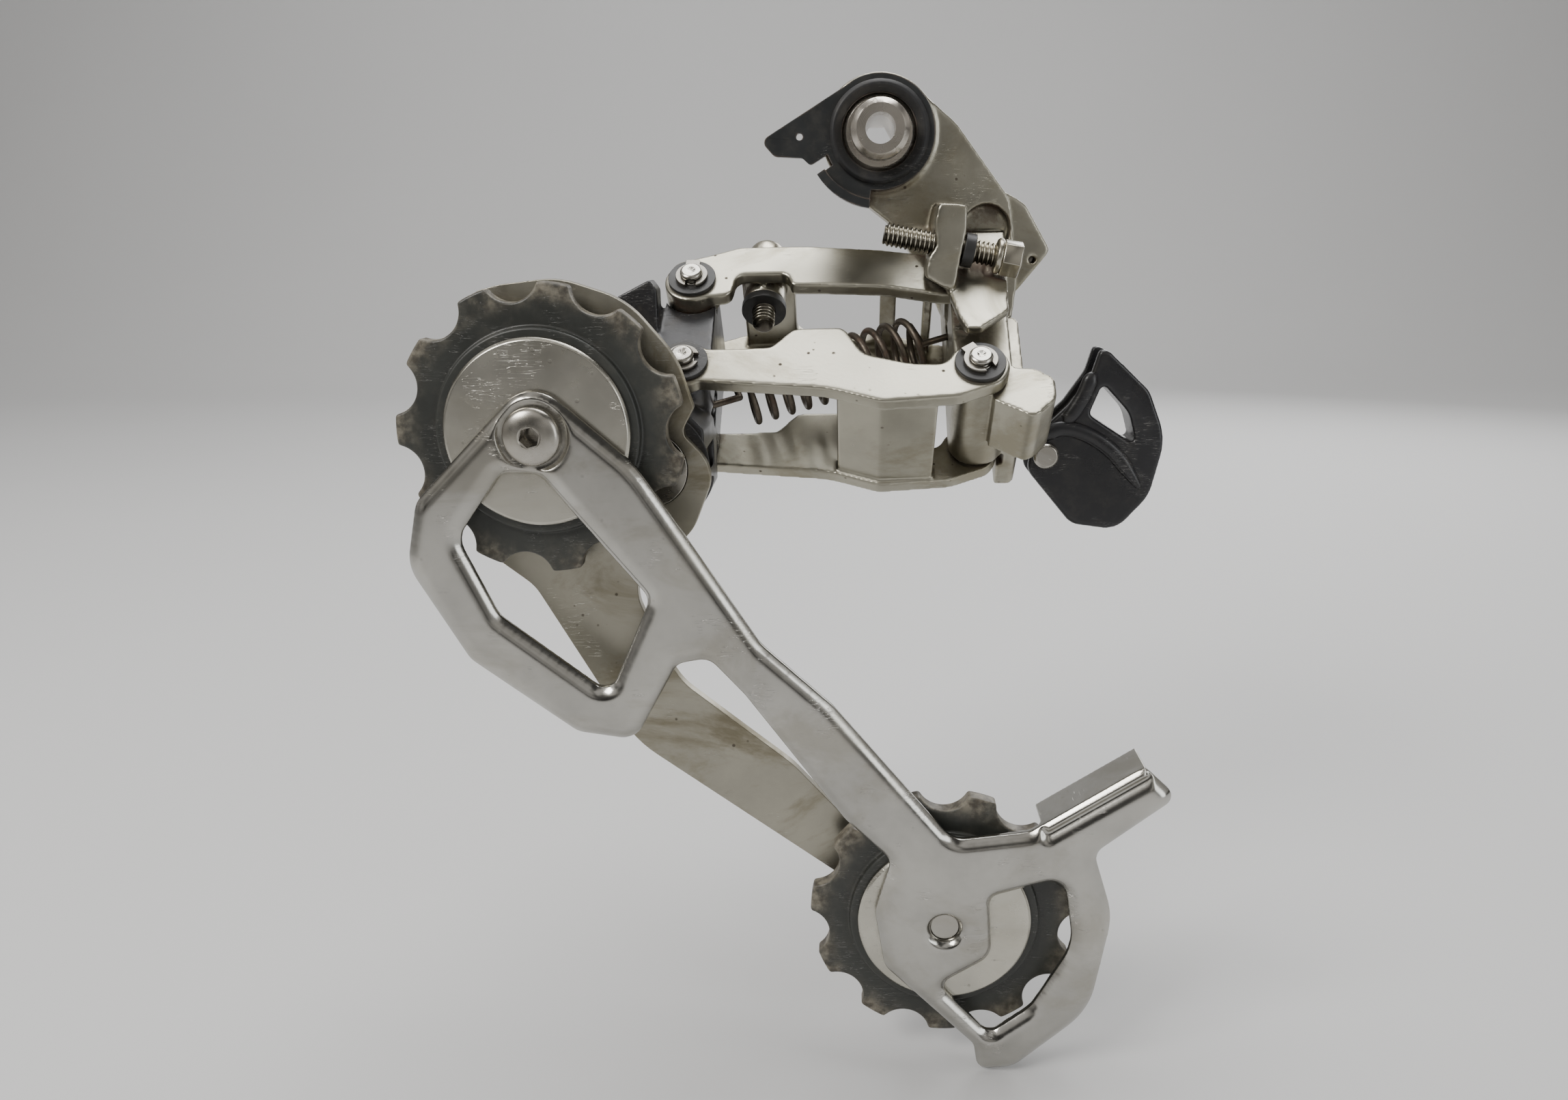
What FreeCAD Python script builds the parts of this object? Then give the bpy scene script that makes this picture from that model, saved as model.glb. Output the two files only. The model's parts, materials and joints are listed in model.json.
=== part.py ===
import FreeCAD
import Part
import math
import os
import Sketcher

# Rear bicycle derailleur, long cage, slant parallelogram.
#
# World frame, millimetres: +X rearward, +Y outboard (away from the wheel), +Z up.
# The origin is on the mounting bolt's axis, at the face that meets the frame's hanger.
#
# Two local frames are used.  In the "side" frame a sketch is drawn as (X, Z) and padded
# inboard, so a depth there is the distance inboard of the hanger face.  In the "link" frame
# a sketch lies in the plane that the parallelogram moves in and is padded along its pins.

V = FreeCAD.Vector
X_AXIS = V(1, 0, 0)

DIMS = {
    # parallelogram
    "link_tilt": 40.0,
    "link_origin_x": -8.0,
    "link_origin_z": -42.0,
    "front_pivot_a": -25.6,
    "rear_pivot_a": 24.7,
    "front_pivot_b": 8.8,
    "rear_pivot_drop": 0.9,
    "pivot_spacing": 20.4,
    "flange_near": 12.4,
    "flange_far": -10.0,
    "flange_thickness": 2.6,
    "link_boss_radius": 5.0,
    "boss_depth": 2.2,
    "pin_radius": 2.0,
    "pin_hole_radius": 2.04,
    "pin_head_radius": 2.3,
    "pin_bush_radius": 2.75,
    "pin_washer_radius": 4.3,
    "pin_washer_thickness": 0.8,
    "pin_clip_radius": 2.9,
    "pin_clip_thickness": 0.6,
    # mounting bolt and stopper plate
    "thread_radius": 5.0,
    "thread_length": 9.0,
    "journal_radius": 6.5,
    "journal_length": 20.0,
    "bolt_head_radius": 8.5,
    "bolt_head_height": 3.6,
    "bolt_bore_radius": 2.55,
    "hex_key_flats": 5.0,
    "stopper_thickness": 2.0,
    "stopper_radius": 9.8,
    "stopper_lip_inner": 11.4,
    "stopper_lip_outer": 13.0,
    "stopper_lip_depth": 7.0,
    "ring_radius": 8.8,
    "ring_inner_radius": 6.7,
    "ring_height": 1.0,
    # mount side knuckle
    "barrel_radius": 10.3,
    "barrel_near": -2.6,
    "barrel_length": 17.0,
    "barrel_bore_radius": 8.9,
    "axle_bush_hole_radius": 6.54,
    "lug_depth": 10.0,
    "adjuster_radius": 2.0,
    "adjuster_hole_radius": 2.04,
    "adjuster_head_flats": 5.6,
    # cage
    "cage_pivot_x": -38.0,
    "cage_pivot_z": -54.0,
    "guide_x": -54.5,
    "guide_z": -46.6,
    "tension_x": 11.2,
    "tension_z": -132.9,
    "outer_plate_face": 29.0,
    "outer_plate_thickness": 2.0,
    "inner_plate_face": 38.6,
    "inner_plate_thickness": 2.4,
    "cage_bevel": 1.0,
    # pulleys
    "pulley_tip_radius": 23.3,
    "pulley_teeth": 11,
    "pulley_root_radius": 19.4,
    "pulley_tooth_width": 3.0,
    "pulley_hub_width": 5.6,
    "pulley_hub_radius": 16.4,
    "cap_radius": 15.0,
    "cap_thickness": 0.8,
    "bush_radius": 5.0,
    "cage_bolt_radius": 2.45,
    "cage_bolt_hole_radius": 2.5,
    "cage_bolt_head_radius": 4.6,
    "cage_bolt_head_height": 1.7,
    # far knuckle
    "cage_barrel_radius": 10.5,
    "cage_barrel_near": 28.0,
    "cage_barrel_length": 19.0,
    "cage_axle_radius": 5.0,
    # spring
    "spring_radius": 5.1,
    "spring_wire_radius": 0.62,
    "spring_pitch": 3.2,
    "spring_turns": 11,
    # cable parts
    "anchor_thread_radius": 2.1,
    "anchor_washer_radius": 4.1,
    "cam_near": -1.0,
    "cam_width": 8.0,
    "cam_flange": 1.6,
}

doc = FreeCAD.newDocument("rear_derailleur")
sheet = doc.addObject("Spreadsheet::Sheet", "Dims")
for row, (alias, size) in enumerate(DIMS.items(), start=1):
    sheet.set(f"A{row}", alias)
    sheet.set(f"B{row}", str(size))
    sheet.setAlias(f"B{row}", alias)
doc.recompute()


def size(expression):
    """The value of an expression over the sheet's aliases, such as 'Dims.barrel_radius / 2'."""
    return float(sheet.evalExpression(expression))


def dim(alias):
    return size("Dims." + alias)


# ---------------------------------------------------------------- frames and pivots

ORIGIN = V(0, 0, 0)
NO_TURN = FreeCAD.Rotation()
SIDE = FreeCAD.Placement(ORIGIN, FreeCAD.Rotation(X_AXIS, 90))
LINK_ORIGIN = V(dim("link_origin_x"), 0, dim("link_origin_z"))
LINK = FreeCAD.Placement(LINK_ORIGIN, FreeCAD.Rotation(X_AXIS, dim("link_tilt")))
LINK_IN_SIDE = SIDE.inverse().multiply(LINK)

SPACING = dim("pivot_spacing")
FRONT_A = dim("front_pivot_a")
REAR_A = dim("rear_pivot_a")
TOP_B = dim("front_pivot_b")
DROP = dim("rear_pivot_drop")
FRONT_UPPER = (FRONT_A, TOP_B)
FRONT_LOWER = (FRONT_A, TOP_B - SPACING)
REAR_UPPER = (REAR_A, TOP_B - DROP)
REAR_LOWER = (REAR_A, TOP_B - DROP - SPACING)
CAGE_PIVOT = (dim("cage_pivot_x"), dim("cage_pivot_z"))
GUIDE = (dim("guide_x"), dim("guide_z"))
TENSION = (dim("tension_x"), dim("tension_z"))


def side_at(x, z, inboard=0.0):
    """Side frame moved to an axis at (x, z)."""
    return SIDE.multiply(FreeCAD.Placement(V(x, z, inboard), NO_TURN))


def link_at(pivot, height=0.0):
    """Link frame moved to a pivot."""
    return LINK.multiply(FreeCAD.Placement(V(pivot[0], pivot[1], height), NO_TURN))


# ---------------------------------------------------------------- sketch helpers


def corner_arc(before, corner, after, radius):
    """Start, middle and end of the round that blends two edges at a corner."""
    to_before = V(before[0] - corner[0], before[1] - corner[1], 0)
    to_after = V(after[0] - corner[0], after[1] - corner[1], 0)
    shorter = min(to_before.Length, to_after.Length)
    to_before.normalize()
    to_after.normalize()
    half_angle = to_before.getAngle(to_after) / 2
    setback = min(radius / math.tan(half_angle), 0.49 * shorter)
    true_radius = setback * math.tan(half_angle)
    tip = V(corner[0], corner[1], 0)
    bisector = (to_before + to_after).normalize()
    centre = tip + bisector * (true_radius / math.sin(half_angle))
    return tip + to_before * setback, centre - bisector * true_radius, tip + to_after * setback


def outline(corners):
    """A closed outline from (x, y) or (x, y, corner radius)."""

    def draw(sketch):
        pieces = []
        rounds = []
        for index, corner in enumerate(corners):
            before = corners[index - 1]
            after = corners[(index + 1) % len(corners)]
            if len(corner) > 2:
                start, middle, end = corner_arc(before, corner, after, corner[2])
                pieces.append(Part.Arc(start, middle, end))
                rounds.append((start, end))
            else:
                point = V(corner[0], corner[1], 0)
                rounds.append((point, point))
        for index, here in enumerate(rounds):
            following = rounds[(index + 1) % len(rounds)]
            if here[1].distanceToPoint(following[0]) > 1e-4:
                pieces.append(Part.LineSegment(here[1], following[0]))
        sketch.addGeometry(pieces, False)

    return draw


def circle(x, y, radius):
    """A circle whose radius is bound to an expression over the sheet."""

    def draw(sketch):
        index = sketch.addGeometry(Part.Circle(V(x, y, 0), V(0, 0, 1), size(radius)), False)
        constraint = sketch.addConstraint(Sketcher.Constraint("Radius", index, size(radius)))
        sketch.renameConstraint(constraint, f"radius_{index}")
        sketch.setExpression(f"Constraints.radius_{index}", radius)

    return draw


def polygon(x, y, across_flats, sides=6):
    """A regular polygon, such as a key socket, by its distance across flats."""
    reach = size(across_flats) / 2 / math.cos(math.pi / sides)
    turns = [2 * math.pi * step / sides for step in range(sides)]
    return outline([(x + reach * math.cos(turn), y + reach * math.sin(turn)) for turn in turns])


def new_body(label, frame):
    body = doc.addObject("PartDesign::Body", label)
    body.Label = label
    body.Placement = frame
    return body


def plane_of(body, role):
    return next(feature for feature in body.Origin.OriginFeatures if feature.Role == role)


def new_sketch(body, drawings, depth="0", role="XY_Plane", tilted=False, turned=None):
    """A sketch on an origin plane, raised by depth in that, the link or a turned frame."""
    sketch = body.newObject("Sketcher::SketchObject", body.Label + "_sketch")
    sketch.AttachmentSupport = (plane_of(body, role), [""])
    sketch.MapMode = "FlatFace"
    if tilted or turned:
        lift = FreeCAD.Placement(V(0, 0, size(depth)), NO_TURN)
        sketch.AttachmentOffset = (turned or LINK_IN_SIDE).multiply(lift)
    else:
        sketch.setExpression(".AttachmentOffset.Base.z", depth)
    for draw in drawings:
        draw(sketch)
    sketch.Visibility = False
    return sketch


def pad(body, drawings, depth, length, tilted=False, turned=None):
    feature = body.newObject("PartDesign::Pad", body.Label + "_pad")
    feature.Profile = new_sketch(body, drawings, depth, tilted=tilted, turned=turned)
    feature.setExpression("Length", length)
    return feature


def pocket(body, drawings, depth, length, tilted=False, role="XY_Plane", both_ways=False,
           turned=None):
    """Cuts from the sketch towards +Z of its plane, or as far both ways."""
    sketch = new_sketch(body, drawings, depth, role, tilted, turned)
    feature = body.newObject("PartDesign::Pocket", body.Label + "_pocket")
    feature.Profile = sketch
    feature.SideType = "Symmetric" if both_ways else "One side"
    feature.Reversed = not both_ways
    feature.setExpression("Length", length)
    return feature


def revolve(body, corners):
    """A solid of revolution about the body's Z axis from (radius, height) corners."""
    feature = body.newObject("PartDesign::Revolution", body.Label + "_revolution")
    sketch = new_sketch(body, [outline(corners)], role="XZ_Plane")
    feature.Profile = sketch
    feature.ReferenceAxis = (sketch, ["V_Axis"])
    feature.Angle = 360
    return feature


def edges_in_plane(feature, height):
    """Names of the edges that lie wholly at one height."""
    names = []
    for number, edge in enumerate(feature.Shape.Edges, start=1):
        bounds = edge.BoundBox
        if abs(bounds.ZMin - height) < 1e-4 and abs(bounds.ZMax - height) < 1e-4:
            names.append(f"Edge{number}")
    return names


def bevel(body, height, amount, kind="Chamfer"):
    """Chamfers or rounds every edge of the flat face at a height."""
    doc.recompute()
    base = body.Tip
    feature = body.newObject("PartDesign::" + kind, body.Label + "_" + kind.lower())
    feature.Base = (base, edges_in_plane(base, size(height)))
    feature.setExpression("Size" if kind == "Chamfer" else "Radius", amount)
    return feature


def disc(label, frame, outer, inner, depth, thickness):
    """A plain washer, bush or ring."""
    body = new_body(label, frame)
    drawings = [circle(0, 0, outer)]
    if inner:
        drawings.append(circle(0, 0, inner))
    pad(body, drawings, depth, thickness)
    return body


def ring_solid(outer, inner, base, height):
    """A ring along Z as a plain shape, for groups of equal pieces."""
    ring = Part.makeCylinder(outer, height, base)
    return ring.cut(Part.makeCylinder(inner, height, base))


def shape_part(label, shape, frame):
    feature = doc.addObject("Part::Feature", label)
    feature.Label = label
    feature.Shape = shape
    feature.Placement = frame.multiply(shape.Placement)
    return feature


# ---------------------------------------------------------------- mounting bolt group


def make_mounting_bolt():
    body = new_body("mounting_bolt", SIDE)
    thread = dim("thread_radius")
    journal = dim("journal_radius")
    bore = dim("bolt_bore_radius")
    head = dim("bolt_head_radius")
    tip = dim("thread_length")
    back = -dim("journal_length")
    top = back - dim("bolt_head_height")
    revolve(body, [
        (bore, tip), (thread - 0.9, tip), (thread, tip - 0.8), (thread, 0), (journal - 0.7, 0),
        (journal, -0.6), (journal, back), (head, back), (head, top + 1.0), (head - 1.0, top),
        (bore, top),
    ])
    pocket(body, [polygon(0, 0, "Dims.hex_key_flats * 1.02")],
           "-Dims.journal_length - Dims.bolt_head_height", "6")


def make_stopper_plate():
    """Black plate with a beak that bears on the hanger and a folded lip below it."""
    body = new_body("stopper_plate", SIDE)
    back = "-0.2 - Dims.stopper_thickness"
    hole = "Dims.journal_radius + 0.05"
    pad(body, [circle(0, 0, "Dims.stopper_radius"), circle(0, 0, hole)], back,
        "Dims.stopper_thickness")
    beak = [(-4.2, 8.4), (-5.6, 8.0), (-21.0, -1.1, 1.2), (-18.6, -3.8, 1.6), (-13.6, -4.1, 0.8),
            (-12.2, -5.4, 0.8), (-9.0, -3.5), (-7.5, 0)]
    pad(body, [outline(beak)], back, "Dims.stopper_thickness")
    lip = lip_outline(dim("stopper_lip_inner"), dim("stopper_lip_outer"), 213, 262)
    web = lip_outline(dim("stopper_radius") - 1.5, dim("stopper_lip_outer"), 213, 262)
    pad(body, [outline(web)], back, "Dims.stopper_thickness")
    pad(body, [outline(lip)], back, "Dims.stopper_lip_depth")
    pocket(body, [circle(-14.1, -0.5, "0.6")], back, "Dims.stopper_thickness")


def lip_outline(inner, outer, first, last):
    """An arc strip about the bolt, as corners every few degrees."""
    steps = 8
    turns = [math.radians(first + (last - first) * step / steps) for step in range(steps + 1)]
    outside = [(outer * math.cos(turn), outer * math.sin(turn)) for turn in turns]
    inside = [(inner * math.cos(turn), inner * math.sin(turn)) for turn in reversed(turns)]
    return outside + inside


def make_stopper_ring():
    """Dished dust ring that stands on the stopper plate around the bolt's journal."""
    body = new_body("stopper_ring", SIDE)
    outer = dim("ring_radius")
    inner = dim("ring_inner_radius")
    top = dim("ring_height")
    revolve(body, [(inner, -0.15), (outer, -0.15), (outer, top - 0.5), (outer - 0.6, top),
                   (outer - 1.0, top), (inner, 0.3)])


# ---------------------------------------------------------------- mount side knuckle


def make_mount_knuckle():
    body = new_body("mount_knuckle", SIDE)
    back = "Dims.barrel_near - Dims.barrel_length"
    pad(body, [circle(0, 0, "Dims.barrel_radius")], back, "Dims.barrel_length")
    arm = [(5.4, 8.6), (13.8, 1.4, 8), (23.6, -11.6, 6), (25.4, -26, 3), (24.5, -34, 2),
           (13, -34, 2), (8.5, -24, 3), (1.9, -15.3, 3), (-6.5, -8.9)]
    pad(body, [outline(arm)], back + " + 1.5", "Dims.barrel_length - 1.9")
    clevis = [(20.9, 24), (31.0, 24, 2), (30.6, -16.6, 4.6), (20.7, -16.6, 4.6)]
    pad(body, [outline(clevis)], "-7.1", "19.2", tilted=True)
    lug = [(10.0, -12.3, 0.8), (14.9, -12.7, 0.8), (14.7, -17.2, 2), (13.6, -22.8, 3),
           (13.0, -26.6, 1.2), (11.0, -26.4, 1), (7.9, -24.6, 1.2), (8.3, -21.4, 2),
           (9.7, -19.4, 2), (9.3, -15.5, 4)]
    pad(body, [outline(lug)], "-4", "Dims.lug_depth + 4")
    boss = [(21, -9.0), (25.5, -11.4, 1), (27.2, -12.6, 1), (32.0, -20.8, 1.6),
            (25.4, -28.8, 1.5), (20, -26)]
    pad(body, [outline(boss)], "-16", "8")
    rear_arm = [(27, -9.8), (34.8, -10.9, 2), (37.6, -13.2, 2), (37.4, -17.5, 3), (33.5, -21.8, 2),
                (27, -18)]
    pad(body, [outline(rear_arm)], "0", "12.1", tilted=True)
    spine = [(29.8, 8), (33.6, 8, 1.5), (33.6, -14, 1.5), (29.8, -14)]
    pad(body, [outline(spine)], "-16", "22", tilted=True)
    cam_mount = [(22.2, -46), (27, -46, 2), (35.4, -54.4, 3.6), (31.6, -61.8, 3.6),
                 (22.2, -57, 1)]
    pad(body, [outline(cam_mount)], "-13.2", "4.1")
    cover = [(13, 22), (19.3, 5.2, 8), (21.3, -3.5, 2), (22.5, -6.6, 0.6), (25.1, -6.6, 0.6),
             (30.0, -2.4, 0.6), (30.8, 22)]
    pad(body, [outline(cover)], COVER_HEIGHT, "1.6", tilted=True)
    cut_link_spaces(body)
    cut_knuckle_holes(body)
    return body


COVER_HEIGHT = "Dims.flange_near + Dims.flange_thickness + Dims.pin_washer_thickness + 0.3"


def cut_link_spaces(body):
    """Slots that the two links' flanges swing in, and the space above the outer link."""
    sweep = [(-40, 20.5), (30.8, 20.5), (30.8, -40), (-40, -40)]
    pocket(body, [outline(sweep)], "Dims.flange_near - 0.3", "Dims.flange_thickness + 0.6",
           tilted=True)
    pocket(body, [outline(sweep)], "Dims.flange_far - 0.3", "Dims.flange_thickness + 0.6",
           tilted=True)
    swing = [(-60, 22.5), (12, 22.5), (20.3, 18.5), (20.3, -60), (-60, -60)]
    pocket(body, [outline(swing)], "-14", "Dims.flange_near + 14", tilted=True)
    upper = circle(REAR_UPPER[0], REAR_UPPER[1], "Dims.link_boss_radius + 0.1")
    pocket(body, [upper], "Dims.flange_near - 0.3", "4.0", tilted=True)


def cut_knuckle_holes(body):
    near_end = "Dims.barrel_near - Dims.barrel_length"
    pocket(body, [circle(0, 0, "Dims.barrel_bore_radius")], near_end, "Dims.barrel_length")
    for pivot in (REAR_UPPER, REAR_LOWER):
        pocket(body, [circle(pivot[0], pivot[1], "Dims.pin_radius")], "-12", "28.1", tilted=True)
    hollow = circle(19.4, -16.8, "4.4")
    pocket(body, [hollow], "-5.6", "3.4")
    hook_slot = slot_outline(REAR_UPPER, FRONT_LOWER, 3.7, 9)
    pocket(body, [outline(hook_slot)], "1.0", "3.0", tilted=True)
    pocket(body, [circle(31.6, -58, "1.6")], "-14", "6")
    for x, z in LIMIT_SCREWS:
        pocket(body, [circle(x, z, "1.5")], "-16", "7")
    counterbore = circle(LIMIT_SCREWS[0][0], LIMIT_SCREWS[0][1], "2.4")
    pocket(body, [counterbore], "-20", "4")


def slot_outline(start, towards, half_width, length):
    """A slot about a pivot that opens towards another pivot."""
    along = V(towards[0] - start[0], towards[1] - start[1], 0).normalize()
    across = V(-along.y, along.x, 0)
    pivot = V(start[0], start[1], 0)
    corners = [pivot - along * half_width - across * half_width,
               pivot + along * length - across * half_width,
               pivot + along * length + across * half_width,
               pivot - along * half_width + across * half_width]
    return [(corner.x, corner.y) for corner in corners]


LIMIT_SCREWS = ((26.4, -16.6), (27.6, -22.0))


def make_limit_screw(label, spot):
    """Small stop screw in the knuckle's outboard boss, reached from outboard."""
    body = new_body(label, side_at(spot[0], spot[1]))
    pad(body, [circle(0, 0, "1.46")], "-16", "6.8")
    pad(body, [circle(0, 0, "2.2")], "-17.6", "1.6")
    pocket(body, [outline([(-1.8, -0.3), (1.8, -0.3), (1.8, 0.3), (-1.8, 0.3)])], "-17.6", "0.8")
    pocket(body, [outline([(-0.3, -1.8), (0.3, -1.8), (0.3, 1.8), (-0.3, 1.8)])], "-17.6", "0.8")


ADJUSTER_TIP = V(0.7, -17.2, 7.2)
ADJUSTER_AIM = V(23.5, -21.9, 7.2)


def adjuster_frame():
    """Frame whose Z runs along the adjusting screw, from its tip to its head."""
    along = (ADJUSTER_AIM - ADJUSTER_TIP).normalize()
    turn = FreeCAD.Rotation(V(0, 0, 1), along)
    return SIDE.multiply(FreeCAD.Placement(ADJUSTER_TIP, turn))


def make_adjuster():
    """Hexagon head screw that sets the knuckle's angle, its nylon brake and its lug bore."""
    body = new_body("angle_adjuster_screw", adjuster_frame())
    pad(body, [circle(0, 0, "Dims.adjuster_radius")], "0", "20.9")
    bevel(body, "0", "0.5")
    pad(body, [polygon(0, 0, "Dims.adjuster_head_flats")], "20.7", "3.5")
    disc("adjuster_brake", adjuster_frame(), "2.9", "Dims.adjuster_hole_radius", "14.05", "1.9")


def cut_adjuster_bore(knuckle):
    """The screw's threaded bore through the lug, and the open space for its head."""
    axis = SIDE.inverse().multiply(adjuster_frame())
    pocket(knuckle, [circle(0, 0, "Dims.adjuster_hole_radius")], "-2", "17", turned=axis)
    pocket(knuckle, [circle(0, 0, "3.7")], "18.4", "14.2", turned=axis)


# ---------------------------------------------------------------- the two links


def boss_pads(body, pivots, depth):
    for pivot in pivots:
        pad(body, [circle(pivot[0], pivot[1], "Dims.link_boss_radius")], depth,
            "Dims.flange_thickness")


def pin_bores(body, pivots):
    for pivot in pivots:
        pocket(body, [circle(pivot[0], pivot[1], "Dims.pin_bush_radius")], "-11", "27")


def make_outer_link():
    """Upper link: two flanges joined by a windowed web on their outer side."""
    body = new_body("outer_link", LINK)
    flange = [(-29.5, 13.4, 3), (-22.5, 15.6, 6), (-17.5, 17.5, 4), (-6, 17.7, 20), (8, 16.4, 20),
              (19, 14.4, 6), (30.0, 12.2, 4), (29.6, 4.2, 4), (18.5, 4.4, 6), (9, 6.6, 20),
              (-1, 7.2, 20), (-7.6, 7.4, 1), (-8.4, 10.3, 2), (-17.6, 10.3, 2), (-18.4, 5.0, 2),
              (-22, 4.6, 4), (-30.2, 5.0, 4)]
    web = [(-17.4, 14.2), (-17.2, 17.0), (-6, 17.3), (8, 16.0), (18.4, 14.0), (18.0, 11.9),
           (8, 13.6), (-6, 14.8)]
    pivots = (FRONT_UPPER, REAR_UPPER)
    for depth in ("Dims.flange_near", "Dims.flange_far"):
        pad(body, [outline(flange)], depth, "Dims.flange_thickness")
        boss_pads(body, pivots, depth)
    pad(body, [outline(web)], "Dims.flange_far + 0.5",
        "Dims.flange_near - Dims.flange_far + 0.5")
    front = circle(FRONT_UPPER[0], FRONT_UPPER[1], "Dims.link_boss_radius")
    pad(body, [front], "Dims.flange_near - Dims.boss_depth", "Dims.boss_depth + 0.1")
    pad(body, [circle(0, 0, "3.9")], "9.4", "6.2", turned=ANCHOR_IN_LINK)
    windows = [outline([(-7.5, -6.2, 3), (8.5, -6.2, 3), (8.5, 11.2, 3), (-7.5, 11.2, 3)]),
               outline([(11.5, -6.2, 2), (16.5, -6.2, 2), (16.5, 11.2, 2), (11.5, 11.2, 2)])]
    pocket(body, windows, "0", "80", role="XZ_Plane", both_ways=True)
    pocket(body, [circle(ANCHOR_A, ANCHOR_C, "Dims.anchor_thread_radius")], "0", "80",
           role="XZ_Plane", both_ways=True)
    pin_bores(body, pivots)


ANCHOR_A = -13.0
ANCHOR_C = 8.0
ANCHOR_IN_LINK = FreeCAD.Placement(V(ANCHOR_A, 0, ANCHOR_C), FreeCAD.Rotation(X_AXIS, -90))


def make_inner_link():
    """Lower link: its web is only at the rear half, so that the cage's barrel has room."""
    body = new_body("inner_link", LINK)
    flange = [(-29.6, -6.4, 4), (-21.0, -8.3, 4), (-10.8, -8.0, 2), (-7.0, -3.6, 2.5),
              (1.8, -3.4, 2), (5.0, -9.6, 4), (13.0, -12.0, 12), (19.0, -12.3, 3),
              (21.0, -8.4, 3), (28.4, -8.2, 4), (29.8, -16.0, 4), (21, -19.5, 8), (8.0, -20.6, 5),
              (-1, -17.6, 20), (-17, -16.2, 20), (-29.8, -15.0, 4)]
    web = [(0.6, -15.0), (0.6, -17.2), (8.0, -19.6), (17.6, -19.2), (17.6, -17.0), (8.0, -17.4)]
    pivots = (FRONT_LOWER, REAR_LOWER)
    for depth in ("Dims.flange_near", "Dims.flange_far"):
        pad(body, [outline(flange)], depth, "Dims.flange_thickness")
        boss_pads(body, pivots, depth)
    pad(body, [outline(web)], "Dims.flange_far + 0.5",
        "Dims.flange_near - Dims.flange_far + 0.5")
    pin_bores(body, pivots)


def make_link_bushes(label, pivots):
    """Flanged bushes in a link's four bosses."""
    near = dim("flange_near")
    far = dim("flange_far")
    thick = dim("flange_thickness")
    washer = dim("pin_washer_thickness")
    solids = []
    for a, b in pivots:
        sleeve = ring_solid(dim("pin_bush_radius"), dim("pin_hole_radius"), V(a, b, near), thick)
        collar = ring_solid(dim("pin_washer_radius"), dim("pin_hole_radius"),
                            V(a, b, near + thick), washer)
        solids.append(sleeve.fuse(collar).removeSplitter())
        sleeve = ring_solid(dim("pin_bush_radius"), dim("pin_hole_radius"), V(a, b, far), thick)
        collar = ring_solid(dim("pin_washer_radius"), dim("pin_hole_radius"),
                            V(a, b, far - washer), washer)
        solids.append(sleeve.fuse(collar).removeSplitter())
    shape_part(label, Part.makeCompound(solids), LINK)


def make_covered_pin(label, pivot):
    """Link pin with a domed head at the far end, whose near end stops under the cover."""
    body = new_body(label, link_at(pivot))
    radius = dim("pin_radius")
    head = dim("pin_head_radius")
    bottom = dim("flange_far") - dim("pin_washer_thickness") - 0.3
    top = clip_height()
    revolve(body, [
        (0, bottom - 1.4), (head - 0.6, bottom - 1.4), (head + 0.8, bottom - 0.8),
        (head + 0.8, bottom), (radius, bottom), (radius, top - 0.3), (radius - 0.3, top),
        (0, top),
    ])


def make_link_pin(label, pivot):
    """Link pin with a domed head at the far end and a grooved, dimpled near end."""
    body = new_body(label, link_at(pivot))
    radius = dim("pin_radius")
    head = dim("pin_head_radius")
    bottom = dim("flange_far") - dim("pin_washer_thickness") - 0.3
    clip = clip_height()
    clip_top = clip + dim("pin_clip_thickness") + 0.1
    revolve(body, [
        (0, bottom - 1.4), (head - 0.6, bottom - 1.4), (head + 0.8, bottom - 0.8),
        (head + 0.8, bottom), (radius, bottom), (radius, clip - 0.05), (radius - 0.5, clip - 0.05),
        (radius - 0.5, clip_top), (radius, clip_top), (radius, clip_top + 0.6),
        (radius - 0.4, clip_top + 0.9), (0.9, clip_top + 0.9), (0, clip_top + 0.5),
    ])


def clip_height():
    """Height of the pin clips: just above the near bushes' collars."""
    return dim("flange_near") + dim("flange_thickness") + dim("pin_washer_thickness") + 0.1


def make_pin_clips(label, pivots, turns):
    """Spring clips in the grooves of two pins, each with its mouth at its own angle."""
    solids = []
    for (a, b), turn in zip(pivots, turns):
        base = V(a, b, clip_height())
        clip = ring_solid(dim("pin_clip_radius"), dim("pin_radius") - 0.48, base,
                          dim("pin_clip_thickness"))
        mouth = Part.makeBox(4, 1.8, 2, V(a + 0.5, b - 0.9, base.z - 0.5))
        mouth.rotate(base, V(0, 0, 1), turn + 180)
        tab = Part.makeBox(1.6, 2.6, dim("pin_clip_thickness"), V(a + 2.2, b - 1.3, base.z))
        tab.rotate(base, V(0, 0, 1), turn)
        solids.append(clip.cut(mouth).fuse(tab).removeSplitter())
    shape_part(label, Part.makeCompound(solids), LINK)


def make_cable_anchor():
    """Bolt, clamp plate and washer that hold the shift cable on the outer link's web."""
    web_top = 17.2
    frame = LINK.multiply(ANCHOR_IN_LINK)
    bolt = new_body("cable_anchor_bolt", frame)
    pad(bolt, [circle(0, 0, "Dims.anchor_thread_radius - 0.02")], "4.2", "17")
    bevel(bolt, "4.2", "0.5")
    pad(bolt, [circle(0, 0, "3.6")], str(web_top + 2.9), "4.2")
    pocket(bolt, [polygon(0, 0, "3.0")], str(web_top + 5.1), "2.1")
    disc("cable_clamp_plate", frame, "4.2", "Dims.anchor_thread_radius + 0.05",
         str(web_top + 0.6), "2.2")
    disc("cable_anchor_washer", frame, "Dims.anchor_washer_radius",
         "Dims.anchor_thread_radius + 0.05", "7.8", "1.5")


# ---------------------------------------------------------------- cage side knuckle


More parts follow.
